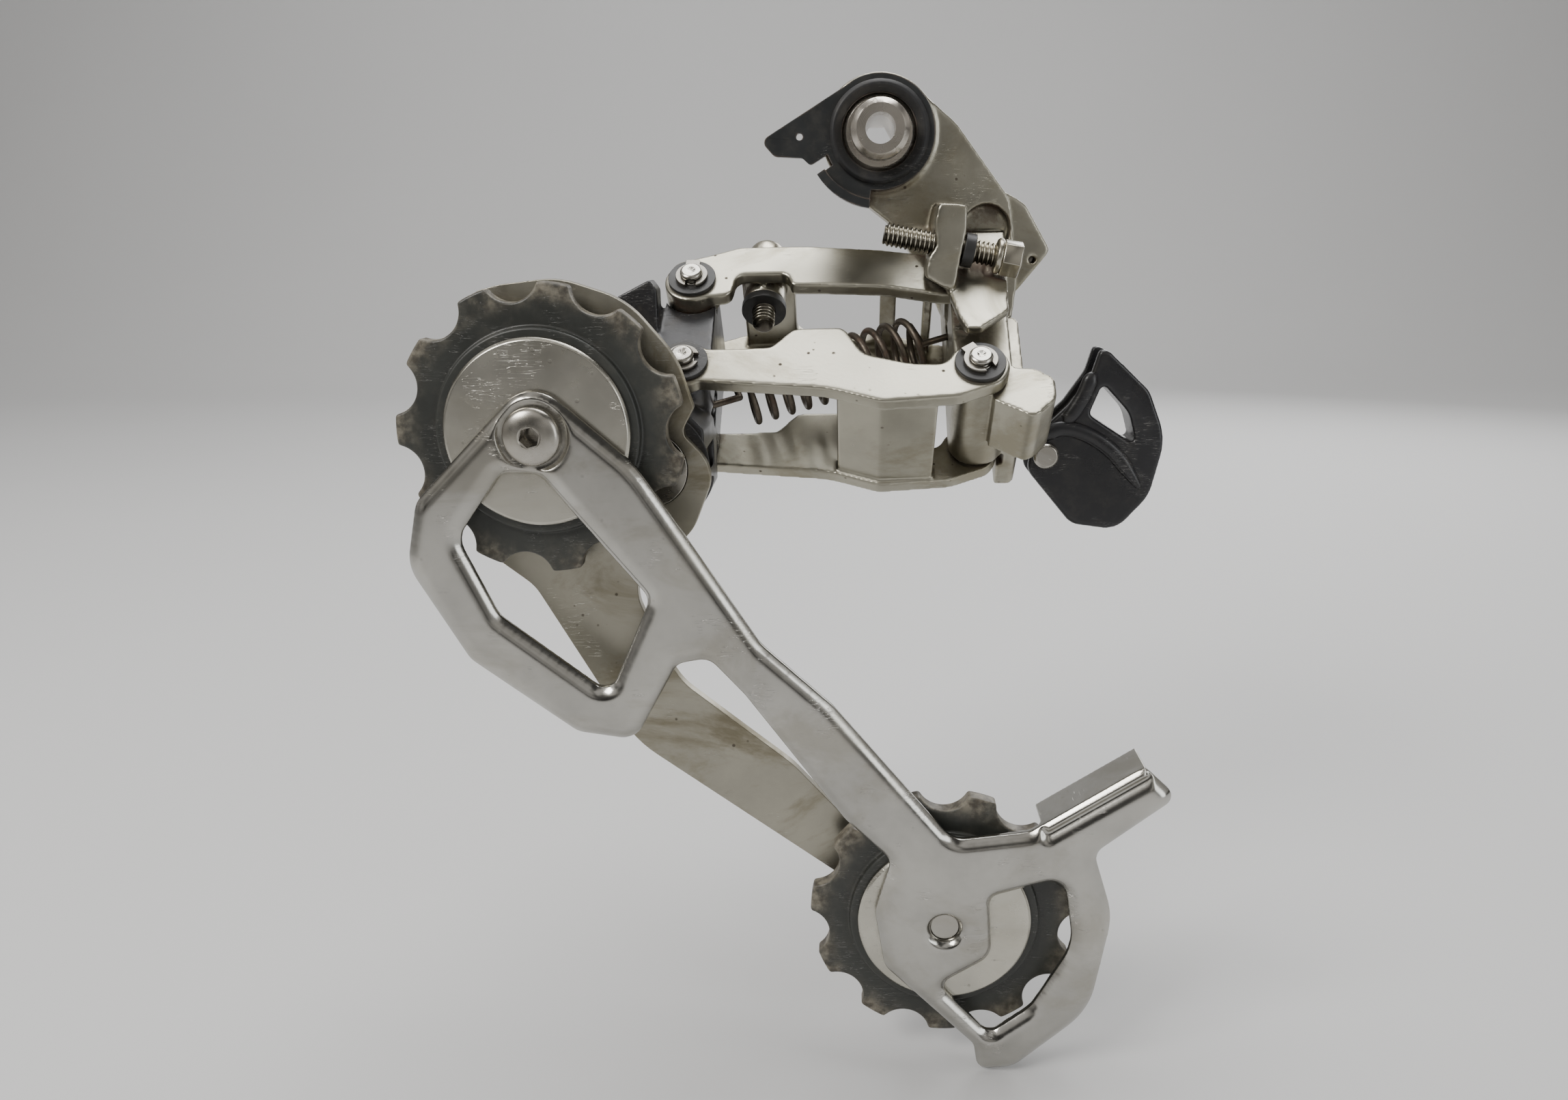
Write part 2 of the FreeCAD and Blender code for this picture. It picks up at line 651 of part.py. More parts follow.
def make_cage_knuckle():
    body = new_body("cage_knuckle", SIDE)
    px, pz = CAGE_PIVOT
    pad(body, [circle(px, pz, "Dims.cage_barrel_radius")],
        "Dims.cage_barrel_near - Dims.cage_barrel_length", "Dims.cage_barrel_length")
    clevis = [(-30.6, 14.6, 4.5), (-21.4, 14.6, 4.5), (-21.4, -16.2, 4.5), (-30.6, -16.2, 4.5)]
    pad(body, [outline(clevis)], "-7.1", "19.2", tilted=True)
    neck = [(-46.4, -38.0, 3), (-40.0, -33.0, 2), (-37.0, -36), (-33, -46), (-38, -58),
            (-47, -50, 3)]
    pad(body, [outline(neck)], "2", "17")
    fin = [(-46.5, -27.4, 0.5), (-40.4, -24.4, 0.6), (-37.0, -29.5), (-37.0, -40.0),
           (-46.0, -44.0, 2)]
    pad(body, [outline(fin)], "4", "5")
    turn = math.radians(276)
    lug = V(math.cos(turn), math.sin(turn), 0)
    across = V(-lug.y, lug.x, 0)
    centre = V(px, pz, 0)
    corners = [centre + lug * reach + across * half
               for reach, half in ((8, -2), (14, -2), (14, 2), (8, 2))]
    pad(body, [outline([(corner.x, corner.y) for corner in corners])], "24.6", "3.2")
    cut_cage_knuckle(body, px, pz)


def cut_cage_knuckle(body, px, pz):
    sweep = [(-31.2, 30), (20, 30), (20, -16.8), (-31.2, -16.8)]
    pocket(body, [outline(sweep)], "Dims.flange_near - 0.3", "6", tilted=True)
    pocket(body, [outline([(-34, 30), (20, 30), (20, -17.4), (-34, -17.4)])],
           "Dims.flange_far - 12", "12 + Dims.flange_thickness + 0.3", tilted=True)
    pocket(body, [outline([(-21.3, 30), (20, 30), (20, -30), (-21.3, -30)])],
           "-8", "26", tilted=True)
    front = circle(FRONT_UPPER[0], FRONT_UPPER[1], "Dims.link_boss_radius + 0.3")
    pocket(body, [front], "Dims.flange_near - Dims.boss_depth - 0.3", "6", tilted=True)
    pocket(body, [circle(px, pz, "8.8")], "Dims.cage_barrel_near - 14", "14")
    pocket(body, [circle(px, pz, "Dims.cage_axle_radius + 0.05")],
           "Dims.cage_barrel_near - 17.8", "17.8")
    pocket(body, [circle(0, 0, "1.4")], "4.2", "8", turned=keeper_frame())
    for pivot in (FRONT_UPPER, FRONT_LOWER):
        pocket(body, [circle(pivot[0], pivot[1], "Dims.pin_radius")], "-14", "32", tilted=True)
    hook_slot = slot_outline(FRONT_LOWER, REAR_UPPER, 3.7, 9)
    pocket(body, [outline(hook_slot)], "1.0", "3.0", tilted=True)


def keeper_frame():
    """In the side frame: Z runs down from the cage axle's axis through the barrel's wall."""
    middle = dim("cage_barrel_near") - 16.1
    down = FreeCAD.Rotation(V(0, 0, 1), V(0, -1, 0))
    return FreeCAD.Placement(V(CAGE_PIVOT[0], CAGE_PIVOT[1], middle), down)


def make_cage_axle_group():
    px, pz = CAGE_PIVOT
    frame = side_at(px, pz)
    axle = new_body("cage_axle", frame)
    radius = dim("cage_axle_radius")
    face = dim("outer_plate_face")
    groove = radius - 1.1
    revolve(axle, [(0, 10.4), (radius - 0.4, 10.4), (radius, 10.8), (groove, 10.8),
                   (groove, 13.2), (radius, 13.2), (radius, face),
                   (radius + 1.2, face), (radius + 1.2, face + 2.0), (0, face + 2.0)])
    keeper = new_body("cage_axle_keeper", SIDE.multiply(keeper_frame()))
    pad(keeper, [circle(0, 0, "1.1")], "4.0", "1.2")
    pad(keeper, [circle(0, 0, "1.38")], "5.2", "5.2")
    pocket(keeper, [polygon(0, 0, "1.3")], "9.2", "2")
    disc("cage_axle_bush", frame, "8.75", "Dims.cage_axle_radius + 0.04", "25.0", "3.0")
    disc("cage_seal_ring", frame, "9.6", "7.0", "28.15", "0.75")


# ---------------------------------------------------------------- springs


def coil(radius, wire, pitch, turns, start=V(0, 0, 0)):
    """A round wire coil that stands on start, along Z."""
    path = Part.Wire(Part.makeHelix(pitch, pitch * turns, radius).Edges)
    first = path.Edges[0]
    at = first.valueAt(first.FirstParameter)
    tangent = first.tangentAt(first.FirstParameter)
    profile = Part.Wire(Part.makeCircle(wire, at, tangent))
    solid = path.makePipeShell([profile], True, True)
    solid.translate(start)
    return solid


def legged_coil(radius, wire, pitch, turns, start):
    """A coil with a short leg across its circle at each end."""
    first = start + V(radius, 0, 0)
    last = first + V(0, 0, pitch * turns)
    reach = V(0, 2.4, 0)
    winding = coil(radius, wire, pitch, turns, start)
    legs = [rod(first - reach * 0.4, first + reach * 0.05, wire * 0.97),
            rod(last - reach * 0.05, last + reach * 0.4, wire * 0.97)]
    return winding.fuse(legs).removeSplitter()


def make_barrel_springs():
    """Torsion springs hidden in the two barrels."""
    spring = legged_coil(7.7, 0.7, 2.2, 4, V(0, 0, -15.5))
    shape_part("mount_pivot_spring", spring, SIDE)
    px, pz = CAGE_PIVOT
    spring = legged_coil(7.0, 0.8, 2.5, 3, V(0, 0, 15.3))
    shape_part("cage_pivot_spring", spring, side_at(px, pz))


def rod(start, end, radius):
    """A straight length of wire with rounded ends."""
    along = end - start
    bar = Part.makeCylinder(radius, along.Length, start, along)
    return bar.fuse([Part.makeSphere(radius, start), Part.makeSphere(radius, end)])


def make_return_spring():
    """Extension spring across the parallelogram, hooked on two opposite pins."""
    wire = dim("spring_wire_radius")
    radius = dim("spring_radius")
    start = V(FRONT_LOWER[0], FRONT_LOWER[1], 0)
    span = V(REAR_UPPER[0], REAR_UPPER[1], 0) - start
    body_length = dim("spring_pitch") * dim("spring_turns")
    gap = (span.Length - body_length) / 2
    winding = coil(radius, wire, dim("spring_pitch"), dim("spring_turns"), V(0, 0, gap))
    reach = dim("pin_radius") + wire + 0.15
    hooks = []
    for end, level, coil_end in ((0, 1, gap), (span.Length, -1, span.Length - gap)):
        centre = V(0, 0, end)
        loop = Part.makeTorus(reach, wire, centre, V(0, 1, 0))
        hooks.append(loop)
        hooks.append(rod(V(0, 0, end + level * reach), V(0, 0, coil_end - level * 0.2), wire))
        hooks.append(rod(V(0, 0, coil_end - level * 0.2), V(radius, 0, coil_end), wire))
    solid = winding.fuse(hooks).removeSplitter()
    shape_part("return_spring", solid, spring_frame(start, span))


def spring_frame(start, span):
    """Local Z along the spring, local Y along the pins, at the slots' middle height."""
    along = V(span.x, span.y, 0).normalize()
    pins = V(0, 0, 1)
    across = pins.cross(along)
    turn = FreeCAD.Rotation(across, pins, along, "ZXY")
    middle = V(start.x, start.y, 2.5)
    return LINK.multiply(FreeCAD.Placement(middle, turn))


# ---------------------------------------------------------------- cage


def make_inner_cage_plate():
    body = new_body("inner_cage_plate", SIDE)
    rim = [
        (-54.6, -37.6, 6), (-74.4, -57.3, 5), (-76.8, -68.0, 7), (-67.8, -84.0, 4),
        (-50.6, -96.8, 4), (-41.0, -98.2, 4), (-33.4, -84.6, 2.5), (-28.2, -83.6, 3),
        (-22.4, -90.0, 4), (-6.0, -112.4, 6), (1.9, -120.2, 2.5), (-0.9, -130.0, 6),
        (0.9, -140.8, 4), (16.8, -156.4, 2), (17.6, -161.6, 2), (24.0, -160.8, 5),
        (36.6, -149.0, 14), (39.6, -130.0, 14), (35.9, -118.2, 2.5), (48.9, -107.6, 2),
        (43.2, -102.2, 1.8), (25.0, -114.4, 4), (12.2, -116.2, 4), (-8.0, -91.8, 12),
        (-19.6, -81.2, 8), (-38.6, -51.6, 20),
    ]
    loop_window = [
        (-60.2, -52.7, 2), (-54.2, -52.8, 3), (-37.4, -73.4, 2.5), (-44.8, -90.2, 2.5),
        (-62.4, -76.4, 4), (-68.2, -63.4, 4),
    ]
    eye_window = [
        (18.6, -126.8, 2), (31.2, -122.8, 3), (33.2, -136.0, 10), (26.4, -148.6, 6),
        (19.4, -154.2, 2), (10.2, -144.4, 2), (19.4, -138.4, 4),
    ]
    tension_hole = circle(TENSION[0], TENSION[1], "Dims.cage_bolt_hole_radius")
    guide_hole = circle(GUIDE[0], GUIDE[1], "Dims.cage_bolt_hole_radius")
    pad(body, [outline(rim), outline(loop_window), outline(eye_window), tension_hole, guide_hole],
        "Dims.inner_plate_face", "Dims.inner_plate_thickness")
    bevel(body, "Dims.inner_plate_face + Dims.inner_plate_thickness", "Dims.cage_bevel")
    tab = [(26.8, -113.2), (43.2, -102.3), (44.2, -103.8), (27.8, -114.7)]
    pad(body, [outline(tab)], "Dims.outer_plate_face + 3", "8")


def make_outer_cage_plate():
    body = new_body("outer_cage_plate", SIDE)
    top = "Dims.outer_plate_face"
    thick = "Dims.outer_plate_thickness"
    px, pz = CAGE_PIVOT
    guard = [(-66.4, -68.0), (-66.4, -25.4, 4), (-60.8, -24.0, 8), (-51.4, -23.0, 14),
             (-40.6, -26.6, 14), (-33.0, -35.6, 14), (-30.4, -43.8, 1), (-32.6, -48.0, 2),
             (-27.0, -54.0, 9), (-31.4, -65.0, 8), (-43.0, -72.0, 8), (-34.5, -91.0, 12),
             (-15.1, -106.6, 20), (-4.0, -119.0, 6), (8.0, -122.6, 9), (20.6, -127.0, 9),
             (19.6, -140.6, 9), (6.2, -142.6, 9), (-3.0, -131.0, 8), (-42.7, -102.4, 20),
             (-58.6, -74.0, 8)]
    pad(body, [outline(guard)], top, thick)
    for x, z in (GUIDE, TENSION):
        pocket(body, [circle(x, z, "Dims.cage_bolt_hole_radius")], top, thick)
    pocket(body, [circle(px, pz, "Dims.cage_axle_radius + 1.25")], top, thick)
    pocket(body, [circle(STOP_PIN[0], STOP_PIN[1], "1.6")], top, thick)


STOP_PIN = (-46.2, -63.7)


def make_stop_pin():
    body = new_body("cage_stop_pin", side_at(STOP_PIN[0], STOP_PIN[1]))
    pad(body, [circle(0, 0, "1.58")], "25.6", "5.2")


def make_cage_bolt(label, spot, head_inboard):
    """Pulley bolt: a button head at one end of a plain shank, with a key socket."""
    body = new_body(label, side_at(spot[0], spot[1]))
    shank = dim("cage_bolt_radius")
    head = dim("cage_bolt_head_radius")
    high = dim("cage_bolt_head_height")
    near = dim("inner_plate_face") + dim("inner_plate_thickness")
    far = dim("outer_plate_face")
    if head_inboard:
        corners = [(0, far - 0.6), (shank - 0.4, far - 0.6), (shank, far - 0.2), (shank, near),
                   (head, near), (head, near + high - 1.0), (head - 1.4, near + high),
                   (0, near + high)]
        revolve(body, corners)
        pocket(body, [polygon(0, 0, "3.0")], str(near + high - 1.4), "3")
    else:
        corners = [(0, far - high), (head - 1.4, far - high), (head, far - high + 1.0),
                   (head, far), (shank, far), (shank, near - 1.3), (shank - 0.4, near - 0.9),
                   (0, near - 0.9)]
        revolve(body, corners)
        pocket(body, [polygon(0, 0, "3.0")], str(far - high - 1.6), "3")


def make_pulley(label, spot, turn):
    """Toothed pulley: a flat tooth ring, a wider hub and wide shallow chain seats."""
    frame = side_at(spot[0], spot[1], middle_depth())
    frame = frame.multiply(FreeCAD.Placement(ORIGIN, FreeCAD.Rotation(V(0, 0, 1), turn)))
    body = new_body(label, frame)
    pad(body, [circle(0, 0, "Dims.pulley_tip_radius")], "-Dims.pulley_tooth_width / 2",
        "Dims.pulley_tooth_width")
    seat = pocket(body, [circle(dim("pulley_root_radius") + 5.5, 0, "4.6")],
                  "-Dims.pulley_tooth_width", "2 * Dims.pulley_tooth_width")
    doc.recompute()
    pattern = body.newObject("PartDesign::PolarPattern", label + "_seats")
    pattern.Originals = [seat]
    pattern.Axis = (seat.Profile[0], ["N_Axis"])
    pattern.Angle = 360
    pattern.setExpression("Occurrences", "Dims.pulley_teeth")
    body.Tip = pattern
    pad(body, [circle(0, 0, "Dims.pulley_hub_radius")], "-Dims.pulley_hub_width / 2",
        "Dims.pulley_hub_width")
    pocket(body, [circle(0, 0, "Dims.bush_radius + 0.04")], "-5", "10")


def middle_depth():
    """Depth of the pulleys' middle plane, half way between the cage plates."""
    return (dim("outer_plate_face") + dim("outer_plate_thickness") + dim("inner_plate_face")) / 2


def make_pulley_trim(name, spot):
    """Bush and the two dust caps clamped between the cage plates at a pulley."""
    frame = side_at(spot[0], spot[1])
    inner = dim("inner_plate_face")
    outer = dim("outer_plate_face") + dim("outer_plate_thickness")
    thick = dim("cap_thickness")
    radius = dim("cap_radius")
    hole = dim("cage_bolt_hole_radius")
    caps = []
    for base, open_side in ((inner - thick, 1), (outer, -1)):
        cap = ring_solid(radius, hole, V(0, 0, base), thick)
        rim_height = base + thick if open_side > 0 else base
        rims = [edge for edge in cap.Edges
                if abs(edge.BoundBox.ZMin - rim_height) < 1e-4
                and abs(edge.BoundBox.ZMax - rim_height) < 1e-4
                and edge.BoundBox.XLength > radius]
        caps.append(cap.makeChamfer(thick * 0.6, rims))
    shape_part(name + "_dust_caps", Part.makeCompound(caps), frame)
    bush = ring_solid(dim("bush_radius"), hole, V(0, 0, outer + thick),
                      inner - outer - 2 * thick)
    shape_part(name + "_bush", bush, frame)


# ---------------------------------------------------------------- cable guide


def make_cable_cam():
    """Grooved quarter wheel that leads the cable round the back of the knuckle."""
    body = new_body("cable_guide_cam", SIDE)
    rim = [(29.0, -55.0, 3), (35.6, -48.6, 4), (39.4, -43.0, 4), (40.8, -38.2, 1),
           (42.6, -38.8, 1), (50.2, -46.0, 6), (53.8, -55.0, 12), (51.4, -66.0, 8),
           (45.6, -72.6, 5), (37.0, -71.4, 4), (28.4, -61.0, 3)]
    core = [(30.2, -56.0, 3), (36.2, -50.0, 4), (40.6, -44.6, 3), (47.8, -47.6, 5),
            (50.6, -55.0, 12), (48.6, -64.6, 8), (44.6, -69.6, 4), (37.4, -68.6, 4),
            (29.6, -60.4, 3)]
    window = [(41.6, -44.6, 0.8), (39.4, -50.4, 1), (48.6, -56.6, 0.8), (46.8, -50.2, 6)]
    near = "Dims.cam_near - Dims.cam_width"
    pad(body, [outline(rim)], near, "Dims.cam_flange")
    pad(body, [outline(core)], near, "Dims.cam_width")
    pad(body, [outline(rim)], "Dims.cam_near - Dims.cam_flange", "Dims.cam_flange")
    pocket(body, [outline(window)], near, "Dims.cam_width")
    pocket(body, [circle(31.6, -58, "1.6")], near, "Dims.cam_width")
    bevel(body, "Dims.cam_near", "0.4")


def make_cam_screw():
    body = new_body("cable_guide_screw", side_at(31.6, -58.0))
    pad(body, [circle(0, 0, "1.56")], "-13.4", "12.6")
    pad(body, [circle(0, 0, "2.4")], "-0.9", "1.4")
    bevel(body, "0.5", "0.5")


# ---------------------------------------------------------------- assembly


def make_everything():
    make_mounting_bolt()
    make_stopper_plate()
    make_stopper_ring()
    knuckle = make_mount_knuckle()
    cut_adjuster_bore(knuckle)
    make_adjuster()
    for label, base in (("mount_inner_bush", "Dims.barrel_near - 3.0"),
                        ("mount_outer_bush", "Dims.barrel_near - Dims.barrel_length")):
        disc(label, SIDE, "Dims.barrel_bore_radius - 0.02", "Dims.axle_bush_hole_radius",
             base, "3.0")
    for label, spot in zip(("high_limit_screw", "low_limit_screw"), LIMIT_SCREWS):
        make_limit_screw(label, spot)
    make_outer_link()
    make_inner_link()
    make_link_bushes("outer_link_bushes", (FRONT_UPPER, REAR_UPPER))
    make_link_bushes("inner_link_bushes", (FRONT_LOWER, REAR_LOWER))
    make_covered_pin("rear_upper_pin", REAR_UPPER)
    for label, pivot in (("rear_lower_pin", REAR_LOWER), ("front_upper_pin", FRONT_UPPER),
                         ("front_lower_pin", FRONT_LOWER)):
        make_link_pin(label, pivot)
    make_pin_clips("rear_pin_clip", (REAR_LOWER,), (125,))
    make_pin_clips("front_pin_clips", (FRONT_UPPER, FRONT_LOWER), (90, 180))
    make_cable_anchor()
    make_cage_knuckle()
    make_cage_axle_group()
    make_barrel_springs()
    make_return_spring()
    make_inner_cage_plate()
    make_outer_cage_plate()
    make_stop_pin()
    make_cage_bolt("guide_pulley_bolt", GUIDE, True)
    make_cage_bolt("tension_pulley_bolt", TENSION, False)
    make_pulley("guide_pulley", GUIDE, -0.7)
    make_pulley("tension_pulley", TENSION, -7.5)
    make_pulley_trim("guide_pulley", GUIDE)
    make_pulley_trim("tension_pulley", TENSION)
    make_cable_cam()
    make_cam_screw()


def check_document():
    """Stops with a message if any feature failed or any cut removed nothing."""
    for thing in doc.Objects:
        bad = {"Invalid", "Error"} & set(thing.State)
        if bad:
            raise RuntimeError(f"{thing.Name} is {bad}")
        if thing.TypeId == "PartDesign::Pocket":
            before = thing.BaseFeature.Shape.Volume
            if thing.Shape.Volume > before - 1e-3:
                raise RuntimeError(f"{thing.Name} removes nothing")


def pieces():
    kinds = ("PartDesign::Body", "Part::Feature")
    return [thing for thing in doc.Objects if thing.TypeId in kinds]


def export_pieces():
    os.makedirs("parts", exist_ok=True)
    for piece in pieces():
        shape = piece.Shape
        if shape.isNull() or not shape.isValid() or not shape.Solids:
            raise RuntimeError(f"{piece.Label} has no valid solid")
        shape.exportStep(f"parts/{piece.Label}.step")
        print(piece.Label, len(shape.Solids), round(shape.Volume, 1))


make_everything()
doc.recompute()
check_document()
export_pieces()
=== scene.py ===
"""Looks of a rear bicycle derailleur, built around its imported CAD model."""

import json
import math

import bmesh
import bpy
from mathutils import Matrix, Vector
from mathutils.kdtree import KDTree

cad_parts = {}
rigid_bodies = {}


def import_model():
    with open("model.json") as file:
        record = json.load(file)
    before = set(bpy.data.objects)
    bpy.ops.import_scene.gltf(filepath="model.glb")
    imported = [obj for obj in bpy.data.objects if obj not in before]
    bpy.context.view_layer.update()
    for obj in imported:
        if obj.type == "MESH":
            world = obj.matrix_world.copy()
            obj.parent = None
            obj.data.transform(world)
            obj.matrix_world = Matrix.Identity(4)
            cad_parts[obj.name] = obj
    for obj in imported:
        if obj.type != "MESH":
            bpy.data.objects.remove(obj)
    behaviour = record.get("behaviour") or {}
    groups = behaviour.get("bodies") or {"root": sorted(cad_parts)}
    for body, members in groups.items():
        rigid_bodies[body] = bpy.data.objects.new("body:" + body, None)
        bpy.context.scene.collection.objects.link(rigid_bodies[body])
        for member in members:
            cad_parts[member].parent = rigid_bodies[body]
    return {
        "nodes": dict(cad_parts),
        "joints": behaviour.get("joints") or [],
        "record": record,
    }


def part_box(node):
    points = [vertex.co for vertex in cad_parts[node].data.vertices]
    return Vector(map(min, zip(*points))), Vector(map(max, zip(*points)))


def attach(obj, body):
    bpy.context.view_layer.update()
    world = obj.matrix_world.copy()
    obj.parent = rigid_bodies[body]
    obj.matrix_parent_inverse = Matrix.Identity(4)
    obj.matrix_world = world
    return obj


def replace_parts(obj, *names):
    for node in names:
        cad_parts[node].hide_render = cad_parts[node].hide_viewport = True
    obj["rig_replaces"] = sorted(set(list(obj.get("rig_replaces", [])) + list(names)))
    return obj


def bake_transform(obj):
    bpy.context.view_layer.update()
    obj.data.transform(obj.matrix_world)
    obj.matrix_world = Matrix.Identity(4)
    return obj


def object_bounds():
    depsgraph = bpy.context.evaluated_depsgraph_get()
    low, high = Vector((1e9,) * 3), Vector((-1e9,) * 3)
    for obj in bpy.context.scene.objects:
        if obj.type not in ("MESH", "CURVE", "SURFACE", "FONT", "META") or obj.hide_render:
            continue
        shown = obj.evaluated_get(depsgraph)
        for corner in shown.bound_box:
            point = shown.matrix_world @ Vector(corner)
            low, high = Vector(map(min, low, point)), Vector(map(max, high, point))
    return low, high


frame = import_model()
CAD_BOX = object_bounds()
NODES = frame["nodes"]
BODY_OF = {
    node: body
    for body, members in frame["record"]["behaviour"]["bodies"].items()
    for node in members
}
SLOT_OF = {part["node"]: part["material_slot"] for part in frame["record"]["subparts"]}
MM = 0.001
TOWARDS_WHEEL = (0, -1, 0)
LINK_TURN = Matrix.Rotation(math.radians(40), 4, "X")


def middle(node):
    low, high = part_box(node)
    return (low + high) / 2


def slide_axis(name):
    joint = next(joint for joint in frame["joints"] if joint["name"] == name)
    return Vector(joint["axis"]).normalized()


ADJUSTER_AXIS = -slide_axis("angle_adjuster_feed")
ANCHOR_AXIS = LINK_TURN @ Vector((0, 1, 0))


# ---------------------------------------------------------------- material tools


class Paint:
    """Builds one node material, with short calls for the nodes it needs."""

    def __init__(self, name):
        self.material = bpy.data.materials.new(name)
        self.material.use_nodes = True
        self.tree = self.material.node_tree
        self.shader = self.tree.nodes["Principled BSDF"]
        self.place = self.node("ShaderNodeTexCoord").outputs["Object"]

    def node(self, kind):
        return self.tree.nodes.new(kind)

    def link(self, source, socket):
        if hasattr(source, "links"):
            self.tree.links.new(source, socket)
        else:
            socket.default_value = source

    def set(self, name, value):
        self.link(value, self.shader.inputs[name])

    def stretched(self, scale, turn=(0, 0, 0)):
        mapping = self.node("ShaderNodeMapping")
        self.link(self.place, mapping.inputs["Vector"])
        mapping.inputs["Scale"].default_value = scale
        mapping.inputs["Rotation"].default_value = [math.radians(angle) for angle in turn]
        return mapping.outputs["Vector"]

    def noise(self, scale, detail=4, rough=0.55, place=None, warp=0.0):
        noise = self.node("ShaderNodeTexNoise")
        self.link(place or self.place, noise.inputs["Vector"])
        noise.inputs["Scale"].default_value = scale
        noise.inputs["Detail"].default_value = detail
        noise.inputs["Roughness"].default_value = rough
        noise.inputs["Distortion"].default_value = warp
        return noise.outputs["Fac"]

    def cells(self, scale):
        cells = self.node("ShaderNodeTexVoronoi")
        self.link(self.place, cells.inputs["Vector"])
        cells.inputs["Scale"].default_value = scale
        return cells.outputs["Distance"]

    def ramp(self, value, low, high, start=0.0, end=1.0):
        """Rises from start to end as value goes from low to high."""
        remap = self.node("ShaderNodeMapRange")
        remap.interpolation_type = "SMOOTHSTEP"
        self.link(value, remap.inputs["Value"])
        self.link(low, remap.inputs["From Min"])
        self.link(high, remap.inputs["From Max"])
        self.link(start, remap.inputs["To Min"])
        self.link(end, remap.inputs["To Max"])
        return remap.outputs["Result"]

    def math(self, operation, a, b=0.0):
        node = self.node("ShaderNodeMath")
        node.operation = operation
        self.link(a, node.inputs[0])
        self.link(b, node.inputs[1])
        return node.outputs[0]

    def mix(self, share, a, b):
        node = self.node("ShaderNodeMix")
        node.data_type = "RGBA"
        self.link(share, node.inputs["Factor"])
        for value, socket in ((a, node.inputs[6]), (b, node.inputs[7])):
            self.link(value if hasattr(value, "links") else (*value, 1), socket)
        return node.outputs[2]

    def hollows(self, distance):
        """1 in corners and hollows, 0 on open faces."""
        node = self.node("ShaderNodeAmbientOcclusion")
        node.samples = 6
        node.inputs["Distance"].default_value = distance
        return self.math("SUBTRACT", 1.0, node.outputs["AO"])

    def edges(self, radius):
        """1 on convex and concave edges, 0 on flat faces."""
        rounded = self.node("ShaderNodeBevel")
        rounded.samples = 4
        rounded.inputs["Radius"].default_value = radius
        flat = self.node("ShaderNodeNewGeometry")
        dot = self.node("ShaderNodeVectorMath")
        dot.operation = "DOT_PRODUCT"
        self.link(rounded.outputs["Normal"], dot.inputs[0])
        self.link(flat.outputs["Normal"], dot.inputs[1])
        return self.ramp(dot.outputs["Value"], 0.97, 0.80)

    def across(self, centre, axis):
        """Distance from an axis of unit length that runs through centre."""
        turned = self.node("ShaderNodeVectorMath")
        turned.operation = "SUBTRACT"
        self.link(self.place, turned.inputs[0])
        turned.inputs[1].default_value = centre
        cross = self.node("ShaderNodeVectorMath")
        cross.operation = "CROSS_PRODUCT"
        self.link(turned.outputs[0], cross.inputs[0])
        cross.inputs[1].default_value = axis
        length = self.node("ShaderNodeVectorMath")
        length.operation = "LENGTH"
        self.link(cross.outputs[0], length.inputs[0])
        return length.outputs["Value"]

    def bump(self, height, distance, strength=1.0, over=None):
        node = self.node("ShaderNodeBump")
        node.inputs["Distance"].default_value = distance
        node.inputs["Strength"].default_value = strength
        self.link(height, node.inputs["Height"])
        if over is not None:
            self.link(over, node.inputs["Normal"])
        return node.outputs["Normal"]

    def scratches(self, turns, fineness=1.0, amount=0.62):
        """Sparse thin lines in a few directions, from 0 to 1."""
        total = 0.0
        for turn in turns:
            lines = self.noise(160 * fineness, 2, 0.5, self.stretched((1, 1, 14), turn), 0.25)
            thin = self.ramp(self.math("ABSOLUTE", self.math("SUBTRACT", lines, 0.5)), 0.012, 0.0)
            where = self.ramp(self.noise(95, 3, 0.6, self.stretched((1, 1, 1), turn)),
                              amount, amount + 0.06)
            total = self.math("MAXIMUM", total, self.math("MULTIPLY", thin, where))
        return total


SCRATCH_TURNS = ((0, 35, 0), (0, -50, 20), (15, 80, 0))


